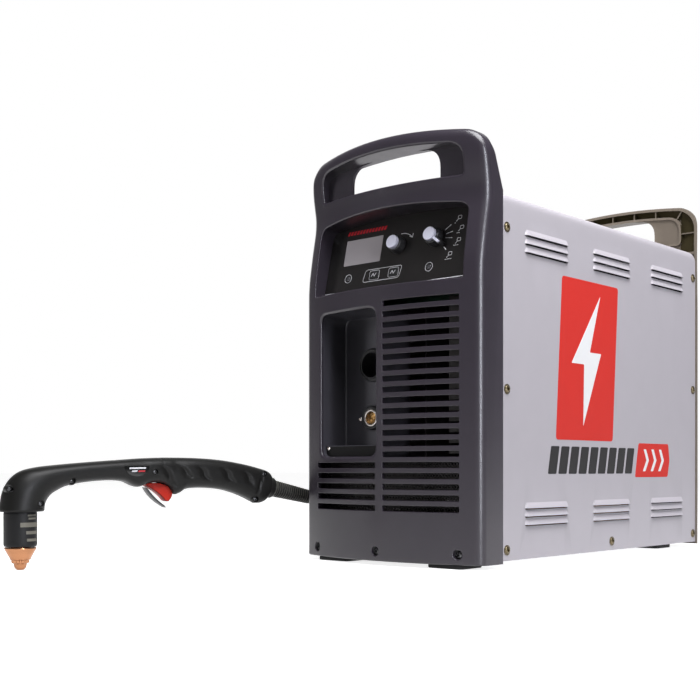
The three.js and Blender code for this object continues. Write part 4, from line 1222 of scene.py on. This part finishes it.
def pointer(name, length, half, low, high):
    """A bar from the mode knob's middle towards the setting that it points to."""
    turn = Vector((math.cos(POINTER), math.sin(POINTER)))
    side = Vector((-turn.y, turn.x))
    middle = Vector(MODE)
    corners = [middle + turn * 3 - side * half, middle + turn * length - side * half * 0.8,
               middle + turn * length + side * half * 0.8, middle + turn * 3 + side * half]
    return panel_slab(name, fillet(corners, 1, 3, True), low, high, 0.4)


def make_controls():
    knob = ribbed_knob("adjustment_knob_body", ADJUSTMENT, 10.8, 11)
    dress(knob, "black", "adjustment_dial", ("adjustment_knob",))
    disc = knob_cap("adjustment_knob_disc", ADJUSTMENT, 8.4)
    dress(disc, "cap", "adjustment_dial", ("adjustment_knob_cap",))
    knob = [ribbed_knob("body", MODE, 11.5, 11), pointer("bar", 19.5, 3, 1, 10.7)]
    dress(combined("mode_knob_body", knob), "black", "mode_dial", ("mode_knob",))
    disc = [knob_cap("disc", MODE, 8.4), pointer("bar", 19, 1.8, 11.3, 14)]
    dress(combined("mode_knob_disc", disc), "cap", "mode_dial", ("mode_knob_cap",))
    for node, (x, body) in BUTTONS.items():
        key = panel_slab(node + "_key", around((x, LOWER_ROW), 7, 5, 2.2, 4), -2.6, 1.1, 0.6)
        dress(key, "black", body, (node,))
        glyph = [(x - 3.6, LOWER_ROW - 1.8), (x - 1, LOWER_ROW + 1.9), (x + 1, LOWER_ROW - 1.9),
                 (x + 3.6, LOWER_ROW + 1.8)]
        dress(combined(node + "_mark", stroke(glyph, 0.7, lift=1.12)), "print", body)
    dome = [(0.3, -3), (3, -3), (3, 0.1), (2.6, 0.55), (1.8, 0.9), (0.9, 1.12), (0.3, 1.18)]
    for node, x in LIGHTS.items():
        lens = lathe(node + "_lens", dome, "z", (x, LOWER_ROW, 0), on_panel, 32)
        dress(lens, "lens", stands_for=(node,))


make_panel()
make_panel_print()
make_controls()

# ---------------------------------------------------------------- behind the slots, feet


def perforated(name, x0, x1, z0, z1, y, pitch):
    """A plate with round holes in rows, as one thin closed solid."""
    points = []
    faces = []
    sides = 8
    hole = pitch * 0.31
    turns = [2 * math.pi * (i + 0.5) / sides for i in range(sides)]
    for row in range(int((z1 - z0) / pitch)):
        for column in range(int((x1 - x0) / pitch)):
            cx = x0 + (column + 0.5) * pitch
            cz = z0 + (row + 0.5) * pitch
            start = len(points)
            back = start + 2 * sides
            for depth in (y, y + 1):
                for turn in turns:
                    c, s = math.cos(turn), math.sin(turn)
                    reach = pitch / 2 / max(abs(c), abs(s))
                    points.append((cx + reach * c, depth, cz + reach * s))
                    points.append((cx + hole * c, depth, cz + hole * s))
            for i in range(sides):
                a, b = 2 * i, 2 * ((i + 1) % sides)
                faces.append((start + a, start + b, start + b + 1, start + a + 1))
                faces.append((back + a, back + a + 1, back + b + 1, back + b))
                faces.append((start + a + 1, start + b + 1, back + b + 1, back + a + 1))
    return build(name, points, faces)


def make_screens():
    screen = perforated("front_screen_mesh", -126, 126, 50, 122, -262, 4.5)
    dress(screen, "black_sheet", stands_for=("front_screen",))
    baffle = box("air_baffle_plate", 74, 126, -262, -260.8, 132, 316, 0.3)
    carve(baffle, [box("gill", 70, 122, -264, -259, z - 2.6, z + 0.4) for z in SLOT_ROWS if 136 < z < 312])
    # the baffle is zinc sheet painted black, as painted shade behind the slots
    dress(baffle, "black_sheet", stands_for=("air_baffle",))


def make_feet():
    for end, y0, y1, top in (("front", -290, -246, 4.7), ("rear", 178, 222, 8.2)):
        for side, x in (("left", -87), ("right", 87)):
            node = f"{end}_{side}_foot"
            pad = slab(node + "_pad", rounded(x - 25, x + 25, y0, y1, 7), 0, top, flat, 1.2)
            dress(pad, "rubber", stands_for=(node,))


make_screens()
make_feet()

# ---------------------------------------------------------------- torch

# Pairs of points on the torch's outer and inner outline, and its half width there.
TORCH_SECTIONS = [
    ((-24.2, 66), (26.6, 66), 22.4), ((-22.4, 76), (27.6, 74.5), 22), ((-20.5, 86), (31, 81), 21.8),
    ((-17, 95), (36, 86), 21.4), ((-10, 104.5), (43, 90), 20.6), ((1, 111.8), (52, 94), 19.6),
    ((18, 116), (64, 96.8), 18.6), ((40, 118.6), (80, 99), 17.8), ((70, 121.3), (97, 100.3), 17.2),
    ((100, 123.6), (112, 100.4), 17), ((123, 125.2), (125, 98.8), 17), ((137, 126.2), (136, 94), 17),
    ((146, 126.8), (144, 92.6), 17), ((156, 127.2), (154, 96), 17), ((168, 127.7), (168, 97), 17),
    ((180, 128), (180, 93), 17), ((188, 128), (188, 83.5), 17), ((196, 128), (196, 84), 17.2),
    ((206, 127.9), (205, 89), 17.4), ((220, 127.6), (219, 90.6), 17.4), ((240, 126.6), (238, 90.2), 17.2),
    ((260, 124.8), (257, 88.2), 17), ((280, 121.8), (276, 83.4), 16.8), ((298, 118.4), (293, 77), 16.6),
    ((312, 115), (304, 71.8), 16.4), ((320, 112.9), (311, 70.4), 16.3), ((326, 110), (318, 72.4), 16),
    ((328.6, 105.6), (323, 77.4), 15.4),
]
# Each grip groove's upper and lower end as (u, z), and its depth.
GROOVES = [
    ((170, 118), (190, 92), 2.6), ((193, 118), (211, 103), 2.9), ((219, 117), (236, 100), 3.0),
    ((253, 115), (269, 98), 3.0), ((283, 111), (300, 94), 2.7),
]
TAIL_BAND = ((311, 106), (301.5, 78))  # a line of short ribs across the tail block


def torch_section(place):
    """The outline pair and the half width at a place along the list, on a smooth curve."""
    last = len(TORCH_SECTIONS) - 1
    low = min(last - 1, int(place))
    t = place - low
    picks = [TORCH_SECTIONS[min(last, max(0, low + i))] for i in (-1, 0, 1, 2)]

    def curve(a, b, c, d):
        bend = (2 * a - 5 * b + 4 * c - d) * t ** 2 + (3 * b - a - 3 * c + d) * t ** 3
        return 0.5 * (2 * b + (c - a) * t + bend)

    outer = [curve(*(p[0][axis] for p in picks)) for axis in (0, 1)]
    inner = [curve(*(p[1][axis] for p in picks)) for axis in (0, 1)]
    return outer, inner, curve(*(p[2] for p in picks))


def groove_depth(u, z):
    """How far the wavy grip grooves and the tail's ribbed band go in at a point of the torch's side."""
    depth = 0.0
    for (u0, z0), (u1, z1), deep in GROOVES:
        down = (z0 - z) / (z0 - z1)
        if 0 < down < 1:
            centre = u0 + (u1 - u0) * down + 2.2 * math.sin(2 * math.pi * down)
            across = (u - centre) / (2.1 if u > centre else 5.5)
            depth = max(depth, deep * math.exp(-across ** 2) * math.sin(math.pi * down) ** 0.4)
    (u0, z0), (u1, z1) = TAIL_BAND
    down = (z0 - z) / (z0 - z1)
    if 0 < down < 1:
        across = (u - u0 - (u1 - u0) * down) / 2.6
        depth = max(depth, 1.1 * math.exp(-across ** 4) * (0.55 + 0.45 * math.cos(z * 2.2)))
    return depth


def make_torch_shell(name, side):
    rings = []
    steps = 300
    around = 40
    for s in range(steps + 1):
        place = (len(TORCH_SECTIONS) - 1) * s / steps
        outer, inner, half = torch_section(place)
        middle = [(a + b) / 2 for a, b in zip(outer, inner)]
        reach = [(a - b) / 2 for a, b in zip(outer, inner)]
        head = eased((9 - place) / 6)
        power = 2 / (2.05 + 0.55 * (1 - head))
        rim = 0.7 * (1 - min(1.0, s / 3)) + 2.4 * (1 - math.sqrt(1 - max(0.0, (s - steps + 6) / 6) ** 2))
        ring = []
        for i in range(around + 1):
            turn = math.pi * i / around
            up = math.copysign(abs(math.cos(turn)) ** power, math.cos(turn))
            out = abs(math.sin(turn)) ** power
            u = middle[0] + reach[0] * up * (1 - rim / 24)
            z = middle[1] + reach[1] * up * (1 - rim / 24)
            v = 0.15 + (half - 0.15 - rim) * out
            v -= groove_depth(u, z) * out
            for notch in (115, 171):
                v -= 0.7 * math.exp(-((u - notch) / 0.9) ** 2) * max(0.0, up) ** 2 * out
                z -= 0.8 * math.exp(-((u - notch) / 0.9) ** 2) * max(0.0, up) ** 6
            ring.append((u, side * v, z))
        rings.append(ring)
    shell = loft(name, rings, in_torch, sharp=45)
    pocket = [(148, 88), (148, 101), (160, 103), (182, 101), (193, 95), (193, 60), (148, 60)]
    carve(shell, [slab("pocket", pocket, side * -3, side * 7.6, facing_y, 0, in_torch)])
    well = [(18.9, 60), (18.9, 69), (15, 69), (15, 92)]
    return carve(shell, [lathe("well", well, "z", place=in_torch)], sharp=45)


def surface_of(piece):
    work = bmesh.new()
    work.from_mesh(piece.data)
    tree = BVHTree.FromBMesh(work)
    work.free()
    return tree


def on_torch(tree, u, z, side=-1):
    """The torch's side at (u, z), as its distance from the parting plane."""
    start = in_torch((u, side * 60, z))
    aim = in_torch((u, 0, z)) - start
    hit = tree.ray_cast(start, aim.normalized(), aim.length + 0.02)
    return 60 - (hit[0] - start).length / MM if hit[0] else 12


# Where the torch's screws are, as (u, z), and how far their rims stand from the parting plane.
TORCH_SCREWS = (
    (-16, 91.5, 11.6), (17, 75, 19), (56.5, 100, 12.5), (159.6, 110.6, 17.4), (314.7, 107.6, 14.2),
    (302.8, 75.6, 12.5),
)


def make_torch_screws(near):
    """Cuts the screws' wells into the near shell and sinks a screw in each, inside a short round boss."""
    rim = fillet([(3.4, 4), (3.4, 0), (4.2, 0), (4.6, 0.7), (5, 5), (5, 8), (3.4, 8)], 0.4, 3, True)
    ground = [(0.2, 2.4), (3.5, 2.4), (3.5, 4.3), (0.2, 4.3)]
    wells = []
    for number, (u, z, level) in enumerate(TORCH_SCREWS):

        def put(point):
            return in_torch((u + point[0], point[2] - level, z + point[1]))

        wells.append(lathe("well", [(3.5, -6), (3.5, 4.4)], "z", place=put, sides=32))
        dress(lathe(f"torch_boss_{number}", rim, "z", place=put, sides=40, loop=True), "torch")
        dress(lathe(f"torch_well_floor_{number}", ground, "z", place=put, sides=32), "gloss")
        seat = (u, 2.4 - level, z)
        dress(lobed_screw(f"torch_screw_{number}", seat, FORWARD, 2.9, 1.3, in_torch), "dark_steel")
    carve(near, wells, sharp=45)


def draped(name, outline, tree, lift, thick, finish):
    """A thin plate that follows the torch's near side."""
    middle = Vector((sum(p[0] for p in outline), sum(p[1] for p in outline))) / len(outline)
    shares = [s / 6 for s in range(1, 7)]  # from the plate's middle to its rim
    rings = []
    for share, height in [(s, lift) for s in shares] + [(s, lift - thick) for s in reversed(shares)]:
        ring = []
        for point in outline:
            u, z = middle + (Vector(point) - middle) * share
            ring.append((u, -on_torch(tree, u, z) - height, z))
        rings.append(ring)
    dress(loft(name, rings, in_torch, sharp=50), finish)


def make_badge(tree):
    turns = [math.pi + math.pi * i / 16 for i in range(17)]
    half_round = [(135.2 + 16 * math.cos(t), 117.6 + 12.4 * math.sin(t)) for t in turns]
    draped("torch_badge", fillet(half_round, 1.5, 2, True), tree, 0.7, 1.2, "gloss")
    bars = ((125, 146, 114, "print"), (128, 135, 110.4, "print"), (136.5, 145, 110.4, "red_print"))
    for number, (left, right, low, finish) in enumerate(bars):
        bar = [(left, low), (right, low + 0.3), (right + 0.7, low + 2.1), (left + 0.7, low + 1.8)]
        draped(f"torch_badge_bar_{number}", divided(bar, 3), tree, 0.9, 0.4, finish)


def make_collar():
    """The flange round the lead's exit at the torch's tail."""
    profile = fillet([(9.5, -12), (13.4, -12), (13.4, -0.8), (12.4, 0.2), (9.5, 0.2)], 0.5, 3, True)
    collar = lathe("torch_tail_collar", profile, "x", place=in_relief, sides=48, loop=True)
    dress(collar, "torch")


def make_trigger():
    shape = drawn((150, 96), (170, 100, 184, 92), (192, 84, 183, 75), (179, 73, 175, 79), (167, 87, 156, 92))
    outline = divided(list(reversed(shape)), 4)
    lever = slab("trigger_lever", outline, -6.4, 6.4, facing_y, 1.6, in_torch, 4)
    dress(lever, "trigger", "torch_trigger", ("trigger",))
    shape = drawn((152, 92), (159.5, 77.2, 179.5, 67), (177, 70), (163.5, 78.8, 155, 90.4))
    outline = divided(list(reversed(shape)), 4)[::-1]
    blade = slab("trigger_safety_blade", outline, -5.4, 5.4, facing_y, 0.4, in_torch, 2)
    dress(blade, "black", "torch_safety", ("trigger_safety",))


def arc_turns(half):
    """Angles of a mark on the retaining cap, half its width each way from the cap's near right side."""
    middle = math.radians(-63.98)
    return [middle - half + 2 * half * i / 10 for i in range(11)]


def machining(turn, along):
    """The shield's notches, its slots round the tip and fine tool marks on its cone, for lathe()."""
    if 7.8 < along < 12.4:
        return -1.1 * max(0.0, math.cos(10 * turn)) ** 0.5
    if 1.5 < along < 7.0:
        return -0.5 * max(0.0, math.cos(8 * turn))
    if 14 < along < 25:
        return 0.06 * math.sin(along * 9)
    return 0.0


def make_consumables():
    cap = [(10.4, 33), (16, 27.4), (17.4, 26.4), (18.5, 28.4), (18.5, 64), (18.1, 65), (18.1, 68.6),
           (15, 68.6), (15, 57.6), (10.4, 57.6)]
    cap = fillet(cap, 0.8, 4, True)
    cap = lathe("retaining_cap_shell", cap, "z", place=in_torch, sides=64, loop=True)
    dress(cap, "cap_shell", stands_for=("retaining_cap",))
    marks = []
    for z0, z1, half in ((61, 63, 0.35), (57.5, 59.5, 0.3), (49, 54, 0.8), (41, 44.5, 0.45), (33, 36, 0.4)):
        section = ((18.3, z0), (18.64, z0), (18.64, z1), (18.3, z1))
        rings = [[(r * math.cos(a), r * math.sin(a), z) for r, z in section] for a in arc_turns(half)]
        marks.append(loft("mark", rings, in_torch, sharp=50))
    dress(combined("retaining_cap_marks", marks), "cap_mark")
    shield = [(12, 25.8), (17.6, 25.8), (17.8, 24.4), (11.8, 13.4), (11.6, 12), (9.9, 11.4), (9.8, 8.2),
              (7.4, 7.2), (6.4, 3), (4, 0.2), (1.6, 0.2), (1.6, 7.5), (5.5, 8.5), (12, 22)]
    shield = lathe("shield_body", fillet(shield, 0.55, 3, True), "z", place=in_torch, sides=120, loop=True,
                   sharp=30, wave=machining)
    dress(shield, "copper", stands_for=("shield",))


def make_torch():
    near = make_torch_shell("torch_handle_near_shell", -1)
    far = make_torch_shell("torch_handle_far_shell", 1)
    make_badge(surface_of(near))
    make_torch_screws(near)
    dress(near, "torch", stands_for=("torch_handle_left",), even=True)
    dress(far, "torch", stands_for=("torch_handle_right",), even=True)
    make_collar()
    make_trigger()
    make_consumables()


make_torch()

# ---------------------------------------------------------------- inside and rear


KEPT_NODES = {
    # (finish, softened edge in mm): CAD nodes that keep their shape
    ("sheet", 0.4): ("base_plate", "interface_cover", "gas_solenoid_valve"),
    # centre_wall is painted black, as painted shade behind the front slots
    ("black_sheet", 0.4): ("centre_wall", "rear_panel"),
    ("black", 0.4): ("fan_frame", "fan_rotor", "front_capacitor", "rear_capacitor"),
    ("black", 0.6): ("power_switch_body", "mains_gland_body", "mains_gland_nut"),
    ("board", 0.2): ("power_board", "control_board"),
    ("winding", 0.8): ("transformer", "inductor"),
    ("aluminium", 0.3): ("heat_sink",),
    ("brass", 0.4): ("gas_inlet_fitting",),
    ("bowl", 0.8): ("air_filter",),
    ("trigger", 1.2): ("power_switch_knob",),
    ("copper", 0.3): ("nozzle", "electrode"),
    ("brass", 0.3): ("torch_head",),
}
FAN = Vector((-62, 150))
FAN_RINGS = (12, 24, 36, 47, 56)
WIRE = 1.1  # half the guard's wire


def make_fan_guard():
    """Wire rings and spokes over the fan, on the rear panel."""
    wires = []
    round_wire = [i * math.pi / 4 for i in range(8)]
    for radius in FAN_RINGS:
        profile = [(radius + WIRE * math.cos(t), 256.2 + WIRE * math.sin(t)) for t in round_wire]
        wires.append(lathe("wire", profile, "y", (FAN.x, 0, FAN.y), sides=72, loop=True))
    for i in range(4):
        turn = math.pi / 4 + i * math.pi / 2
        side = Vector((-math.sin(turn), math.cos(turn)))
        along = Vector((math.cos(turn), math.sin(turn)))
        rings = []
        for distance in (10, 58):
            spot = FAN + along * distance
            rings.append([(spot.x + side.x * WIRE * math.cos(t), 254.4 + WIRE * math.sin(t),
                           spot.y + side.y * WIRE * math.cos(t)) for t in round_wire])
        wires.append(loft("spoke", rings))
    dress(combined("fan_guard", wires), "sheet")


for (finish, edge), kept in KEPT_NODES.items():
    for node in kept:
        keep(node, finish, edge)
make_fan_guard()

# ---------------------------------------------------------------- floor and light


WALL_LIGHT = 0.14
AWAY = (-0.672, 0.7405, 0)  # from the camera to the backdrop


def make_floor():
    size = 30
    corners = [(-size, -size, 0), (size, -size, 0), (size, size, 0), (-size, size, 0)]
    floor = build("floor", corners, [(0, 1, 2, 3)], Vector)
    glow = dict(Emission_Color=(1, 1, 1, 1), Emission_Strength=0.8)
    paint = look("floor_paint", (0.6, 0.6, 0.6), 0.9, 0, 0.004, 0, 0.5, glow)
    floor.data.materials.append(paint)
    floor.visible_diffuse = False  # the floor looks white without lighting the unit from below


def make_backdrop():
    """A white backdrop behind the unit that falls off to grey walls on the camera's side."""
    world = bpy.data.worlds.new("studio")
    bpy.context.scene.world = world
    world.use_nodes = True
    nodes = world.node_tree.nodes
    links = world.node_tree.links
    where = nodes.new("ShaderNodeTexCoord")
    toward = nodes.new("ShaderNodeVectorMath")
    toward.operation = "DOT_PRODUCT"
    toward.inputs[1].default_value = AWAY
    links.new(where.outputs["Generated"], toward.inputs[0])
    fall = nodes.new("ShaderNodeMapRange")
    for socket, value in (("From Min", 0.6), ("From Max", 0.87), ("To Min", WALL_LIGHT), ("To Max", 1.0)):
        fall.inputs[socket].default_value = value
    links.new(toward.outputs["Value"], fall.inputs["Value"])
    nodes["Background"].inputs["Color"].default_value = (1, 1, 1, 1)
    links.new(fall.outputs["Result"], nodes["Background"].inputs["Strength"])


def soft_box(name, where, aim, width, height, power, color=(1, 1, 1), diffuse=True, gloss=True):
    """An area light in watts and metres, from a place towards another in the unit's frame."""
    data = bpy.data.lights.new(name, "AREA")
    data.shape = "RECTANGLE"
    data.size = width
    data.size_y = height
    data.energy = power
    data.color = color
    lamp = link(name, data)
    lamp.location = unit(where)
    lamp.rotation_euler = (unit(aim) - lamp.location).to_track_quat("-Z", "Y").to_euler()
    lamp.visible_diffuse = diffuse
    lamp.visible_glossy = gloss


make_floor()
make_backdrop()
soft_box("right_light", (2100, -1000, 550), (135, -100, 250), 0.22, 1.7, 19, (0.92, 0.93, 1))
soft_box("edge_light", (2300, -1080, 450), (135, -200, 250), 0.14, 1.9, 34, (0.86, 0.9, 1), diffuse=False)
soft_box("rear_light", (1700, 1700, 650), (135, 150, 250), 0.7, 1.7, 15, (0.88, 0.91, 1), gloss=False)
soft_box("left_light", (-1500, -1900, 500), (-50, -250, 250), 0.5, 1.8, 34, gloss=False)
soft_box("top_light", (800, -500, 2100), (0, 0, 300), 1.4, 1.4, 84, (0.97, 0.975, 1))
bpy.context.scene.view_settings.view_transform = "Standard"
